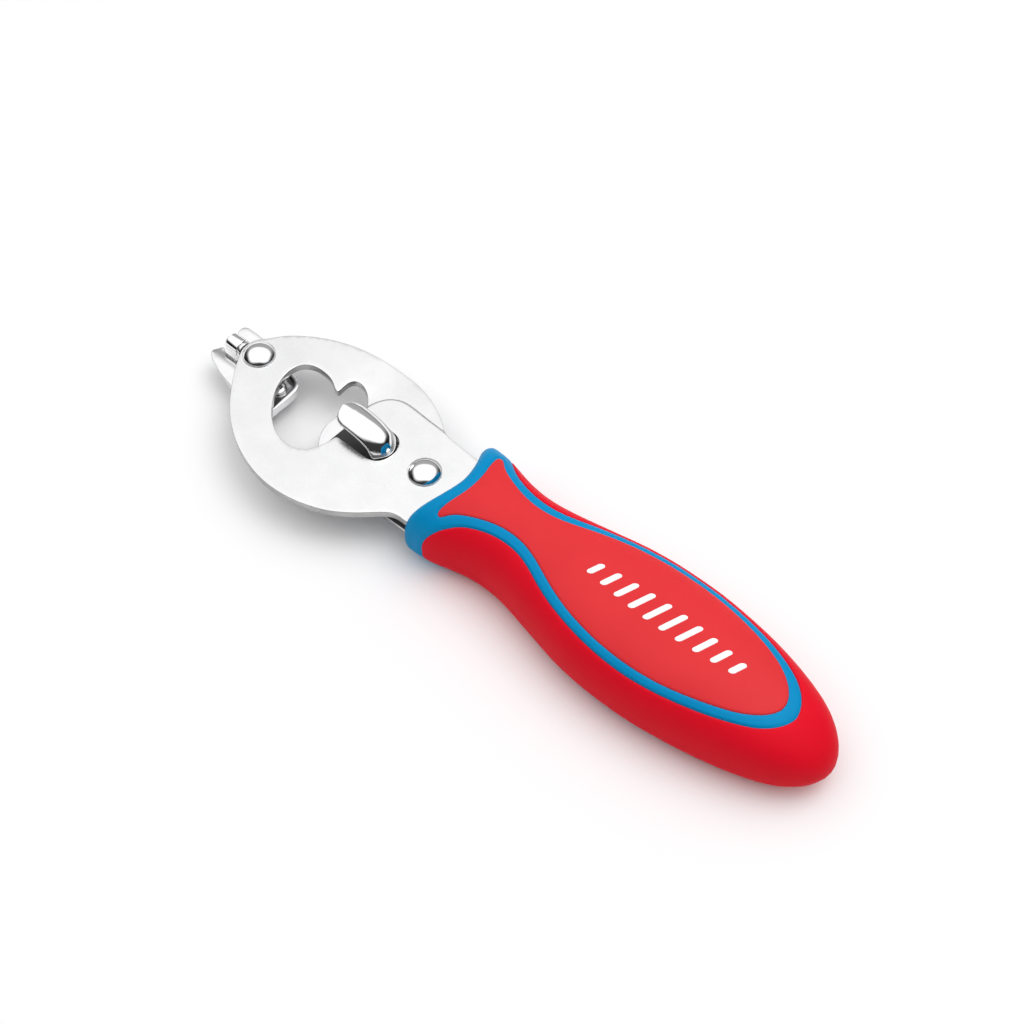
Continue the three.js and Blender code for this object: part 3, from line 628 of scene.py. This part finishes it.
# ------------------------------------------------------------------ red panels, top and underside
def panel_mesh(under):
    N = plan_normals(panel, True)
    spine = np.column_stack([np.clip(panel[:, 0], 7.0, 84.0), np.zeros(len(panel))])
    g = 0.05
    rings, hts = [], []
    base = panel - N * g
    for d, h in zip(DS, HS):
        rings.append(base - N * d)
        hts.append(h)
    last = rings[-1]
    for q in (0.93, 0.84, 0.72, 0.58, 0.43, 0.28, 0.14, 0.0):
        rings.append(spine + (last - spine) * q)
        hts.append(0.0)
    low = [(base, -SHELL)] + [(spine + (base - spine) * q, -SHELL) for q in (0.8, 0.55, 0.3, 0.0)]
    seq = [(P, h) for P, h in reversed(low)] + [(P, h) for P, h in zip(rings, hts)]
    V, F = [], []
    n = len(panel)
    for P, h in seq:
        z = top_z(P[:, 0], P[:, 1])
        if under:
            z = np.maximum(GRIP_Z - (z - GRIP_Z) * GRIP_DOWN / GRIP_UP, 0.0) + TOP_SINK - h
            z = np.where(z < 0.06, 0.0, z)
        else:
            z = np.minimum(z, 22.2) - TOP_SINK + h
        V.append(np.column_stack([P, z]))
    for a in range(len(seq) - 1):
        for j in range(n):
            k = (j + 1) % n
            F.append((a * n + j, a * n + k, (a + 1) * n + k, (a + 1) * n + j))
    return np.vstack(V), F


def motif():
    """A row of plain slanted bars, printed where the panel is widest."""
    S = Soup()
    n = 10
    for k in range(n):
        t = k / (n - 1)
        cx, hh, ww = 37.5 + 42.5 * t, 2.2 + 1.5 * math.sin(math.pi * t), 0.85
        sl = 0.35
        a = np.linspace(0, math.pi, 9)
        P = np.vstack([np.column_stack([ww * np.cos(a), hh - ww + ww * np.sin(a)]), np.column_stack([-ww * np.cos(a), -(hh - ww) - ww * np.sin(a)])])
        side = [np.column_stack([np.full(5, -ww), np.linspace(hh - ww, -(hh - ww), 7)[1:-1]]), np.column_stack([np.full(5, ww), np.linspace(-(hh - ww), hh - ww, 7)[1:-1]])]
        P = np.vstack([P[:9], side[0], P[9:], side[1]])
        P = np.column_stack([cx + P[:, 0] + sl * P[:, 1], P[:, 1]])
        spine = np.column_stack([cx + sl * np.clip(P[:, 1], -(hh - ww), hh - ww), np.clip(P[:, 1], -(hh - ww), hh - ww)])
        m = len(P)
        V, F = [], []
        for q, h in ((1.0, -0.12), (1.0, 0.010), (0.96, 0.030), (0.5, 0.030), (0.0, 0.030)):
            Q = spine + (P - spine) * q
            V.append(np.column_stack([Q, np.minimum(top_z(Q[:, 0], Q[:, 1]), 22.2) - TOP_SINK + h]))
        for a0 in range(4):
            for j in range(m):
                j2 = (j + 1) % m
                F.append((a0 * m + j, a0 * m + j2, (a0 + 1) * m + j2, (a0 + 1) * m + j))
        F.append(tuple(range(m))[::-1])
        S.add(np.vstack(V), F)
    return S.out()


build("grip_panel_top_skin", *panel_mesh(False), "opener", ["grip_panel_top"], RED_PANEL_PAINTED_SHEEN, "red_grip", 50)
build("grip_panel_top_print", *motif(), "opener", [], INK, None, 50, merge=1e-6)
build("grip_panel_under_skin", *panel_mesh(True), "opener", ["grip_panel_bottom"], RED_PANEL_PAINTED_SHEEN, "red_grip", 50)


# ------------------------------------------------------------------ red side piece, a horseshoe round the back
def side_mesh():
    w = half_width(band[:, 0])
    keep = np.abs(band[:, 1]) < w * 0.9995
    first, last = np.argmax(keep), len(keep) - 1 - np.argmax(keep[::-1])
    B = resample(band[first:last + 1], 0.65, False)
    s = np.r_[0, np.cumsum(np.linalg.norm(np.diff(B, axis=0), axis=1))]
    ext = np.array([0.05, 0.15, 0.3, 0.45])
    t = np.unique(np.r_[s, ext, s[-1] - ext])
    B = np.column_stack([np.interp(t, s, B[:, 0]), np.interp(t, s, B[:, 1])])
    N = plan_normals(B, False)
    # outward from the core
    if N[len(N) // 4] @ np.array([0, 1]) < 0:
        N = -N
    B = B + N * 0.05
    zt = top_z(B[:, 0], B[:, 1])
    K = 96
    th = np.linspace(0, math.pi, K)
    ct = np.cos(th)
    Z = GRIP_Z + (zt - GRIP_Z)[:, None] * (ct * np.where(ct > 0, 1.0, GRIP_DOWN / GRIP_UP))[None]
    lo = np.zeros_like(Z)
    hi = np.full_like(Z, 24.0)
    for _ in range(40):
        mid = 0.5 * (lo + hi)
        X = B[:, :1] + N[:, :1] * mid
        Y = B[:, 1:] + N[:, 1:] * mid
        v = level(X, Y, Z)
        v = np.where(X > X_END, 5, v)
        lo, hi = np.where(v < 0, mid, lo), np.where(v < 0, hi, mid)
    P = np.stack([B[:, :1] + N[:, :1] * lo, B[:, 1:] + N[:, 1:] * lo, Z], -1)
    M = 20
    rows_o, rows_i = [], []
    for p in P:
        L = np.r_[0, np.cumsum(np.linalg.norm(np.diff(p, axis=0), axis=1))]
        T = L[-1]
        f = min(1.0, T / 2 / (EDGE_R * 1.15))
        d = DS * f
        t = np.r_[d, np.linspace(d[-1], T - d[-1], M + 2)[1:-1], (T - d)[::-1]]
        h = np.r_[HS, np.zeros(M), HS[::-1]] * f
        q = np.stack([np.interp(t, L, p[:, c]) for c in range(3)], 1)
        nn = normals(q)
        rows_o.append(q + nn * h[:, None])
        rows_i.append(q - nn * SHELL * f)
    m = len(rows_o[0])
    V = []
    for a, b2 in zip(rows_o, rows_i):
        V.append(np.vstack([a, b2[::-1]]))
    F = []
    R = 2 * m
    n = len(V)
    for i in range(n - 1):
        for j in range(R):
            k = (j + 1) % R
            F.append((i * R + j, i * R + k, (i + 1) * R + k, (i + 1) * R + j))
    for i in (0, n - 1):
        for j in range(m - 1):
            F.append((i * R + j, i * R + j + 1, i * R + R - 2 - j, i * R + R - 1 - j))
    return np.vstack(V), F


build("side_grip_skin", *side_mesh(), "opener", ["side_grip"], RED_SIDE, "red_grip", 50)


# ------------------------------------------------------------------ blue core: collar, bands, recesses under the red pieces
def core_mesh():
    NJ = 260
    phi = (np.arange(NJ) + 0.5) / NJ * 2 * math.pi
    c, s = np.cos(phi), np.sin(phi)
    cy = np.sign(c) * np.abs(c) ** (2 / GRIP_N)
    sz = np.sign(s) * np.abs(s) ** (2 / GRIP_N)
    R = 3.0
    mouth = lambda y: -6.2 - 6.2 * (np.abs(y) / 17) ** 1.8
    xm = mouth(17.42 * cy)
    sx = np.r_[-6.2 + R * (1 - np.cos(np.linspace(0, math.pi / 2, 9))), np.arange(-2.7, 100, 0.55), np.arange(100.2, 108, 0.45), 108.2, 108.5, 108.75, 108.92, 109.03, 109.08]
    rows = []
    for x0 in sx:
        f = 1 - np.clip((x0 + 3.2) / 14, 0, 1)
        f = f * f * (3 - 2 * f)
        x = x0 + (xm + 6.2) * f
        e = x0 + 6.2
        dlt = R * (1 - math.sqrt(max(0, 1 - ((R - e) / R) ** 2))) if e < R else 0.0
        w, h = half_width(x), height_share(x) * np.where(sz > 0, GRIP_UP, GRIP_DOWN)
        y, z = w * cy, GRIP_Z + h * sz
        rows.append((x, y, z, w, h, dlt))
    X = np.array([r[0] for r in rows]); Y = np.array([r[1] for r in rows])
    Wd = np.array([r[3] for r in rows]); Hd = np.array([r[4] for r in rows])
    dl = np.array([[r[5]] * NJ for r in rows])
    pts = np.column_stack([X.ravel(), Y.ravel()])
    dP = distance(panel, pts) * np.where(inside(panel, pts), 1, -1)
    dB = distance(band, pts, False) * np.where(inside(band_closed, pts), -1, 1)
    d = np.maximum(dP, dB).reshape(X.shape)
    sm = lambda t: np.clip(t, 0, 1) ** 2 * (3 - 2 * np.clip(t, 0, 1))
    off = GROOVE * sm((d + 0.42) / 0.42) + (1.45 - GROOVE) * sm((d - 0.5) / 0.6)
    off = off + dl
    Yn = (Wd - off).clip(0.05) * cy
    Zn = GRIP_Z + (Hd - off).clip(0.05) * sz
    sunk = d > 0.2
    Zn = np.where((Zn < 0) & ~sunk, 0.0, Zn)
    Zn = np.where((Zn < 1.2) & sunk & (d > 0.9), 1.4, np.maximum(Zn, 0.0))
    Zn = np.minimum(Zn, 22.2)
    V = [np.column_stack([X[i], Yn[i], Zn[i]]) for i in range(len(sx))]
    # face of the collar and the slot that the two steel sheets enter
    rim_y, rim_z = Yn[0], Zn[0]
    n8 = 9.0
    sc = np.sign(c) * np.abs(c) ** (2 / n8)
    ss = np.sign(s) * np.abs(s) ** (2 / n8)
    slot_y, slot_z = -0.9 + 13.3 * sc, 9.0 + 3.1 * ss
    front = []
    for k, t in enumerate(np.linspace(0, 1, 8)[1:]):
        yy, zz = rim_y + (slot_y - rim_y) * t, rim_z + (slot_z - rim_z) * t
        front.append(np.column_stack([mouth(yy) + 0.5 * sm(t * np.ones(NJ)) + (xm - mouth(rim_y)) * (1 - t), yy, zz]))
    deep = []
    for t in np.linspace(0, 1, 6)[1:]:
        wy = 13.3 + (8.4 - 13.3) * t
        deep.append(np.column_stack([mouth(slot_y) + 0.5 + (3.0 - mouth(slot_y)) * t, -0.9 * (1 - t) + wy * sc, 9.0 + (3.1 - 0.2 * t) * ss]))
    seq = deep[::-1] + front[::-1] + V
    F = []
    for a in range(len(seq) - 1):
        for j in range(NJ):
            k = (j + 1) % NJ
            F.append((a * NJ + j, a * NJ + k, (a + 1) * NJ + k, (a + 1) * NJ + j))
    verts = np.vstack(seq)
    nv = len(verts)
    verts = np.vstack([verts, [[3.0, 0, 9.0], [X_END - 0.02, 0, GRIP_Z]]])
    for j in range(NJ):
        k = (j + 1) % NJ
        F.append((nv, k, j))
        b0 = (len(seq) - 1) * NJ
        F.append((nv + 1, b0 + j, b0 + k))
    return verts, F


build("grip_core_blue", *core_mesh(), "opener", ["handle_core"], BLUE, "blue_plastic", 50)

# ------------------------------------------------------------------ head plate
TOP_SIDE = [(-88.3, 2.2), (-87.2, 4.2), (-85.6, 6.0), (-84.1, 8.2), (-81.9, 10.7), (-78.9, 13.2), (-76.2, 15.1), (-71.7, 17.6), (-66.8, 19.6), (-61.1, 21.1),
            (-55.1, 21.9), (-48.4, 22.05), (-42.5, 21.6), (-37.4, 20.4), (-33.4, 18.8), (-29.3, 16.6), (-25.9, 14.1)]
LOW_SIDE = [(-88.4, 0), (-88.0, -2.0), (-86.9, -4.0), (-85.6, -6.0), (-84.1, -8.3), (-82.0, -10.9), (-79.6, -13.8), (-76.9, -16.7), (-74.1, -19.3),
            (-71.1, -21.7), (-67.9, -23.8), (-64.4, -25.7), (-60.7, -27.3), (-56.6, -28.6), (-52.3, -29.5), (-47.8, -29.85), (-43.4, -29.6),
            (-38.9, -28.8), (-34.4, -27.4), (-30.3, -25.6), (-26.8, -23.3), (-23.6, -20.7), (-21.0, -18.2), (-19.0, -16.4), (-17.4, -15.3),
            (-15.6, -14.85), (-12.6, -14.8), (-9.5, -13.6), (-5.5, -10.2), (-2, -8.0), (4, -7.2)]
TANG = [(30, -7.2), (54, -7.2), (57.3, -5.8), (58.5, -2.8), (58.5, 2.8), (57.3, 5.8), (54, 7.2), (30, 7.2)]
HIGH_TANG = [(4, 7.2), (-2, 7.8), (-6.5, 10.2), (-9.5, 11.8), (-11.8, 12.2), (-14.9, 12.3), (-19.5, 12.6), (-24.0, 13.0)]
HOLE = [(-47.9, 7.0), (-49.4, 8.7), (-51.1, 10.1), (-53.2, 11.2), (-55.2, 11.5), (-56.7, 10.9), (-57.4, 9.5), (-57.4, 7.7), (-57.2, 5.9),
        (-57.2, 5.0), (-58.6, 5.3), (-60.6, 6.5), (-62.8, 7.25), (-65.0, 7.5), (-67.7, 7.35), (-70.1, 6.4), (-71.6, 4.9), (-72.3, 2.9), (-72.4, 0.6),
        (-71.9, -1.9), (-70.9, -4.6), (-69.2, -7.5), (-67.1, -10.2), (-65.0, -12.4), (-62.6, -14.3), (-59.8, -15.9), (-56.8, -16.9),
        (-54.0, -17.15), (-51.6, -16.6), (-49.5, -15.3), (-48.0, -13.4), (-47.0, -11.1), (-46.4, -8.6), (-46.2, -6.9)]
SLOT = [(-45.9, -6.6), (-45.2, -6.6), (-36.2, -6.6), (-34.2, -6.45), (-32.95, -6.05), (-32.4, -5.7), (-31.75, -5.0), (-31.2, -4.2), (-30.75, -3.0), (-30.55, -1.2),
        (-30.75, 0.6), (-31.2, 1.8), (-31.75, 2.6), (-32.4, 3.3), (-32.95, 3.65), (-34.2, 4.1), (-36.2, 4.3), (-45.4, 4.85), (-46.3, 5.2), (-47.1, 6.1)]
ARM = np.array([(-46.6, -2.0), (-46.6, 6.5), (-46.2, 8.2), (-45.3, 10.3), (-43.7, 12.2), (-41.6, 13.3), (-39.4, 13.65), (-31.3, 13.25), (-24.0, 13.0), (-15, 12.6)])
arm_line = resample(catmull(ARM, False, 8), 0.4, False)
arm_poly = np.vstack([arm_line, [[70, 12.6]], [[70, -40]], [[-40, -40]], [[-46.6, -10]]])


def plate_top(x, y):
    x, y = np.asarray(x, float), np.asarray(y, float)
    pts = np.column_stack([x.ravel(), y.ravel()])
    a = np.degrees(np.arctan2(pts[:, 1] + 4, pts[:, 0] + 52))  # about the ring centre
    t = np.clip((152 - a) / 82, 0, 1)
    drop = RING_DROP * t * t * (3 - 2 * t)
    drop = np.where(a < 0, 0, drop)
    dist = distance(arm_line, pts, False)
    inn = inside(arm_poly, pts)
    u = np.clip(dist / 1.1, 0, 1)
    k = np.where(inn, 0, 1 - np.sqrt(np.clip(1 - u * u, 0, 1)))
    return PLATE_TOP - (drop * k).reshape(x.shape)


outline = resample(catmull(TOP_SIDE, False, 8)[::-1], 0.4, False)
low = resample(catmull(LOW_SIDE, False, 8), 0.4, False)
tang = catmull(TANG, False, 4)
high = resample(catmull(HIGH_TANG, False, 6), 0.4, False)
plate_outline = np.vstack([outline, low, tang, high])
plate_outline = relax(resample(plate_outline, 0.35, True), True, 6)
hole_loop = np.vstack([catmull(HOLE, False, 8), catmull(SLOT, False, 8)])
hole_loop = relax(resample(hole_loop, 0.3, True), True, 4)
circle = lambda p, r, n=40: np.array([(p[0] + r * math.cos(t), p[1] + r * math.sin(t)) for t in np.linspace(0, 2 * math.pi, n, endpoint=False)])
AN = plan_normals(arm_line, False)
extra = np.vstack([arm_line + AN * k for k in (0, 0.25, 0.5, 0.72, 0.9, 1.02, 1.12, 1.35, -0.35, -0.25, -0.5, -0.72, -0.9, -1.02, -1.12, -1.35)])
holes = [hole_loop, circle(HEAD_RIVET, 2.15), circle(REAR_RIVET, 2.15), circle((14, 0), 2.1), circle((44, 0), 2.1)]
build("head_plate_stamped", *sheet(plate_outline, holes, plate_top, PLATE_T, 0.18, 1.3, extra, 0.42), "opener", ["head_plate"], SATIN, "satin_steel", 30, wall=EDGE_PAINTED_SHADE)

# ------------------------------------------------------------------ backing plate
th = np.linspace(math.pi / 2, 3 * math.pi / 2, 40)
back = np.vstack([np.column_stack([-40.3 + 13.8 * np.cos(th), -1 + 12.9 * np.sin(th)]),
                  [(-20.5, -15.1), (-12.4, -15.1), (-10.4, -14.0), (-7.5, -12.0), (-2, -8.2), (4, -7.2), (48, -7.2), (50, -5.5), (50, 5.5), (48, 7.2), (4, 7.2), (-2, 7.8), (-6.5, 10.0), (-11, 11.9)]])
build("backing_plate_stamped", *sheet(back, [circle(REAR_RIVET, 2.15), circle((14, 0), 2.1), circle((44, 0), 2.1)], lambda x, y: np.full(np.shape(x), BACK_TOP), BACK_T, 0.2, 3.0, None, 0.6),
      "opener", ["backing_plate"], POLISHED, "satin_steel", 30, wall=EDGE_PAINTED_SHADE)

# ------------------------------------------------------------------ black sheet between the two sheets under the slot: painted shade
shim = np.array([(-49.1, -6.6), (-12, -6.6), (-12, 3.7), (-49.1, 3.7)])
build("slot_painted_shade_sheet", *sheet(shim, [circle(REAR_RIVET, 2.15)], lambda x, y: np.full(np.shape(x), BACK_TOP + 0.36), 0.33, 0.08, 3.0, None, 0.6),
      "opener", ["plate_shim"], DARK, "black_plastic", 30)

# ------------------------------------------------------------------ cap lifter
def lifter():
    P0 = PLATE_TOP - PLATE_T
    T = 1.5
    ctl = np.array([(-11.5, P0 - 0.1, 4.5, 0.0), (-18, P0 - 0.1, 4.5, 0), (-24.5, P0 - 0.1, 4.5, 0), (-29.4, P0 - 0.1, 4.4, 0.05), (-30.35, P0 - 0.2, 4.5, 0.1), (-30.66, 9.95, 4.65, 1.9),
                    (-30.70, 10.6, 4.7, 2.1), (-30.78, 11.6, 4.72, 2.1), (-31.1, 12.6, 4.7, 2.1), (-31.95, 14.2, 4.6, 2.1), (-33.1, 15.7, 4.5, 2.1), (-35.2, 17.0, 4.4, 2.0), (-38.0, 17.85, 4.4, 1.8), (-41.5, 18.3, 4.4, 1.6), (-44.6, 18.45, 4.4, 1.5)])
    C = catmull(ctl, False, 10)
    C = relax(resample(C, 0.25, False), False, 2)
    tail = []
    for a in np.linspace(0, 1, 22)[1:]:
        q = 1 - (1 - a) ** 1.8
        w = 4.4 * max(0.02, 1 - q ** 2.5) ** (1 / 2.5)
        tail.append((-44.6 - 3.55 * q, 18.45 - 0.08 * q, w, 1.5 * (w / 4.4) ** 2))
    C = np.vstack([C, tail])
    V, F = [], []
    M = 22
    e = 7
    R = None
    for i, (x, z, w, c) in enumerate(C):
        a, b = C[max(0, i - 1)], C[min(len(C) - 1, i + 1)]
        t = np.array([b[0] - a[0], b[1] - a[1]])
        t /= max(1e-9, np.linalg.norm(t))
        n = np.array([t[1], -t[0]])
        tt = T * min(1.0, w / 1.2)
        ww = max(0.05, w - tt / 2)
        u = np.linspace(-1, 1, M)
        yc, drop = u * ww, c * u * u + tt / 2
        ny, nn = -2 * c * u / ww * -1, np.ones(M)
        l = np.hypot(ny, nn)
        ny, nn = ny / l, nn / l
        topy, topd = yc + ny * tt / 2, drop - nn * tt / 2
        boty, botd = yc - ny * tt / 2, drop + nn * tt / 2
        ring = []
        for y, d in zip(topy, topd):
            ring.append((y, d))
        for k in range(1, e):
            an = math.pi * k / e
            ring.append((yc[-1] + (ny[-1] * math.cos(an) + nn[-1] * math.sin(an)) * tt / 2, drop[-1] - (nn[-1] * math.cos(an) - ny[-1] * math.sin(an)) * tt / 2))
        for y, d in zip(boty[::-1], botd[::-1]):
            ring.append((y, d))
        for k in range(1, e):
            an = math.pi * k / e
            ring.append((yc[0] - (ny[0] * math.cos(an) * 1 + nn[0] * math.sin(an)) * tt / 2 * 1.0, drop[0] + (nn[0] * math.cos(an) - ny[0] * math.sin(an)) * tt / 2))
        R = len(ring)
        for y, d in ring:
            V.append((x - n[0] * d, -1.2 + y, z - n[1] * d))
    m = len(C)
    for i in range(m - 1):
        for j in range(R):
            k = (j + 1) % R
            F.append((i * R + j, i * R + k, (i + 1) * R + k, (i + 1) * R + j))
    F.append(tuple(range(R)))
    F.append(tuple((m - 1) * R + j for j in range(R)))
    return np.array(V), F


lift = build("cap_lifter_formed", *lifter(), "opener", ["cap_lifter"], CHROME, "chrome", 60)
# downward faces and the root faces turned towards the slot end get the near-black metal: painted shade under the lifter
# and in the slot
lift.data.materials.append(LIFTER_PAINTED_SHADE)
for p in lift.data.polygons:
    if p.normal.z < -0.25 or (p.normal.x < -0.6 and p.center.z < 0.0150 and p.center.x > -0.085):
        p.material_index = 1


# ------------------------------------------------------------------ rivets, washers, bush
def dome(r, z, h, n=14):
    R = (r * r + h * h) / (2 * h)
    a0 = math.asin(r / R)
    return [(max(0.0, R * math.sin(a0 * (1 - i / n))), z + h - R + R * math.cos(a0 * (1 - i / n))) for i in range(n + 1)]


def rivet(p, tail_z, tail_r, tail_h):
    hz = PLATE_TOP + 0.02
    low = [(0, tail_z), (tail_r * 0.7, tail_z), (tail_r, tail_z + tail_h * 0.5), (tail_r, tail_z + tail_h), (2.0, tail_z + tail_h), (2.0, hz), (4.45, hz)]
    prof = rounded(low, 0.2) + [(4.56, hz + 0.10), (4.6, hz + 0.25)] + dome(4.6, hz + 0.35, 2.35)[0:]
    return lathe(prof, 72, "z", (p[0], p[1], 0))


build("rear_rivet_polished", *rivet(REAR_RIVET, BACK_TOP - BACK_T - 0.7 - 1.35, 3.2, 1.3), "opener", ["rear_rivet"], CHROME, "chrome", 45)
build("head_rivet_polished", *rivet(HEAD_RIVET, 1.5, 2.7, 1.2), "opener", ["head_rivet"], CHROME, "chrome", 45)


def ring(p, r0, r1, z0, z1, r=0.1):
    return lathe(rounded([(r0, z0), (r1, z0), (r1, z1), (r0, z1), (r0, z0)], r), 56, "z", (p[0], p[1], 0))


build("rear_washer", *ring(REAR_RIVET, 2.12, 4.0, 5.48, 6.18), "opener", ["rear_rivet_washer"], PLAIN, "plain_steel")
build("head_washer", *ring(HEAD_RIVET, 2.12, 3.2, 2.75, 3.4), "opener", ["head_rivet_washer"], PLAIN, "plain_steel")
build("bush_turned", *lathe(rounded([(2.12, 3.5), (2.6, 3.5), (2.6, 4.9), (3.2, 4.9), (3.2, 8.6), (2.12, 8.6), (2.12, 3.5)], 0.12), 56, "z", (-83, 0, 0)), "opener", ["swivel_bush"], PLAIN, "plain_steel")
build("cone_washer", *lathe(rounded([(2.3, 9.05), (3.6, 8.68), (3.6, 8.98), (2.3, 9.35), (2.3, 9.05)], 0.08), 56, "z", (-83, 0, 0)), "opener", ["spring_washer"], PLAIN, "plain_steel")

# ------------------------------------------------------------------ guide bracket
CUP = [(-88.05, 6.8), (-80.0, 5.15), (-74.4, 4.0), (-71.4, 3.2), (-69.8, 2.1), (-69.0, 0.4), (-68.7, -3.1), (-68.6, -9.4), (-68.9, -11.9),
       (-69.8, -13.2), (-71.4, -13.45), (-78.0, -12.05), (-84.4, -10.6), (-88.05, -9.75)]


def bracket():
    S = Soup()
    cup = resample(np.array(CUP), 0.25, True)
    if area(cup) < 0:
        cup = cup[::-1]
    cup = relax(cup, True, 30)
    cup = resample(cup, 0.5, True)
    N = plan_normals(cup, True)
    n = len(cup)
    z0, z1, t = 3.6, 7.4, 1.2
    prof = []
    for a in np.linspace(math.pi / 2, 0, 7):
        prof.append((1.5 - 1.5 * math.cos(a), z0 + 1.5 - 1.5 * math.sin(a)))
    prof += [(0.0, z1 - 0.25), (0.07, z1 - 0.07), (0.25, z1), (t - 0.25, z1), (t - 0.07, z1 - 0.07), (t, z1 - 0.25)]
    for a in np.linspace(0, math.pi / 2, 6):
        prof.append((t + 0.6 - 0.6 * math.cos(a), z0 + t + 0.6 - 0.6 * math.sin(a)))
    V, F = [], []
    for d, z in prof:
        Q = cup - N * d
        V.append(np.column_stack([Q, np.full(n, z)]))
    for a in range(len(prof) - 1):
        for j in range(n):
            k = (j + 1) % n
            F.append((a * n + j, a * n + k, (a + 1) * n + k, (a + 1) * n + j))
    V = np.vstack(V)
    # floor, top and bottom, as constrained triangles
    def cap(loop, first, flip):
        r = geometry.delaunay_2d_cdt([Vector(p) for p in loop], [(i, (i + 1) % n) for i in range(n)], [], 1, 1e-7, True)
        for f in r[2]:
            src = [r[3][i] for i in f]
            if all(src):
                q = tuple(first + g[0] for g in src)
                F.append(q[::-1] if flip else q)
    cap(cup - N * prof[0][0], 0, True)
    cap(cup - N * prof[-1][0], (len(prof) - 1) * n, False)
    S.add(V, F)
    z_flat = lambda x, y: np.full(np.shape(x), 7.44)
    z_dip = lambda x, y: 7.44 - 0.6 * np.clip((y + 5.6) / 2.9, 0, 1) ** 2 * (3 - 2 * np.clip((y + 5.6) / 2.9, 0, 1))
    ear_p = [(-87.0, 3.4), (-87.0, 6.9), (-90.0, 7.4), (-93.0, 7.6), (-96.2, 7.55), (-97.3, 7.0), (-97.7, 5.9), (-97.3, 4.4), (-96.2, 3.55), (-94.5, 3.4)]
    ear_m = [(-87.0, -2.75), (-95.0, -2.75), (-96.2, -1.7), (-96.9, -2.0), (-97.75, -4.4), (-97.55, -5.5), (-96.9, -6.35), (-95.2, -7.35),
             (-90.1, -9.3), (-87.5, -9.95), (-83.2, -10.85), (-83.2, -8.0), (-86.2, -5.6), (-87.0, -4.6)]
    for e, z_ear in ((ear_p, z_flat), (ear_m, z_dip)):
        L = relax(resample(np.array(e), 0.25, True), True, 3)
        S.add(*sheet(L, [], z_ear, 1.2, 0.22, 1.5, None, 0.3))
    a = np.linspace(0, math.pi, 26)
    lug = np.vstack([[(2.9, 4.0), (2.9, 8.6)], np.column_stack([0.3 + 2.6 * np.cos(a), 8.6 + 2.6 * np.sin(a)]), [(-2.3, 8.6), (-2.3, 4.0)]])
    v, f = sheet(relax(resample(lug, 0.2, True), True, 2), [circle((0.3, 8.6), 1.1, 24)], lambda x, y: np.full(np.shape(x), 0.0), 0.95, 0.15, 1.5, None, 0.3)
    S.add(np.column_stack([-90.25 - v[:, 2] - 0.0, v[:, 0], v[:, 1]]), f)
    foot = relax(resample(np.array([(-90.2, -2.3), (-87.0, -2.3), (-87.0, 2.9), (-90.2, 2.9)]), 0.2, True), True, 1)
    S.add(*sheet(foot, [], lambda x, y: np.full(np.shape(x), 5.2), 1.2, 0.15, 1.5, None, 0.3))
    return S.out()


build("guide_bracket_pressed", *bracket(), "nose_bracket", ["guide_bracket"], BRIGHT, "bright_steel", 35)
X = lambda prof, y, z, seg=64: lathe(prof, seg, "x", (0, y, z))
build("roller_pin_polished", *X(rounded([(0, -96.05), (1.3, -95.95), (2.1, -95.6), (2.45, -95.1), (1.0, -95.05), (1.0, -89.27), (1.5, -89.25), (1.5, -89.05), (0, -88.98)], 0.25, 4), 0.3, 8.6), "nose_bracket", ["roller_pin"], CHROME, "chrome", 50)
build("guide_roller_polished", *X(rounded([(1.1, -95.0), (2.65, -95.0), (2.65, -90.55), (1.1, -90.55), (1.1, -95.0)], 0.35, 5), 0.3, 8.6), "roller", ["guide_roller"], CHROME, "chrome", 50)
build("roller_thrust_washer", *X(rounded([(1.1, -90.5), (2.1, -90.5), (2.1, -90.3), (1.1, -90.3), (1.1, -90.5)], 0.06), 0.3, 8.6), "nose_bracket", ["roller_washer"], PLAIN, "plain_steel")
W = (-75.0, -1.6, 0)
build("cutting_wheel_ground", *lathe(rounded([(1.62, 1.95), (2.4, 1.95), (4.46, 2.58), (4.5, 2.63), (4.46, 2.68), (3.1, 3.3), (1.62, 3.3), (1.62, 1.95)], 0.1), 96, "z", W), "wheel", ["cutting_wheel"], BLADE, "blade_steel", 25)
build("wheel_stud_turned", *lathe(rounded([(0, 0.85), (1.6, 0.85), (1.9, 1.1), (1.9, 1.4), (1.5, 1.4), (1.5, 4.95), (2.5, 4.95), (2.5, 5.5), (1.7, 6.1), (0, 6.35)], 0.3, 4), 56, "z", W), "nose_bracket", ["wheel_stud"], CHROME, "chrome", 45)
build("wheel_thrust_washer", *ring(W, 1.62, 2.3, 1.47, 1.85, 0.08), "nose_bracket", ["wheel_washer"], PLAIN, "plain_steel")

# inner pieces keep their CAD shape
for n, mt in (("tang_spacer", DARK), ("tang_pin_front", PLAIN), ("tang_pin_rear", PLAIN)):
    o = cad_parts[n]
    o.data.materials.clear()
    o.data.materials.append(mt)

bpy.context.view_layer.update()
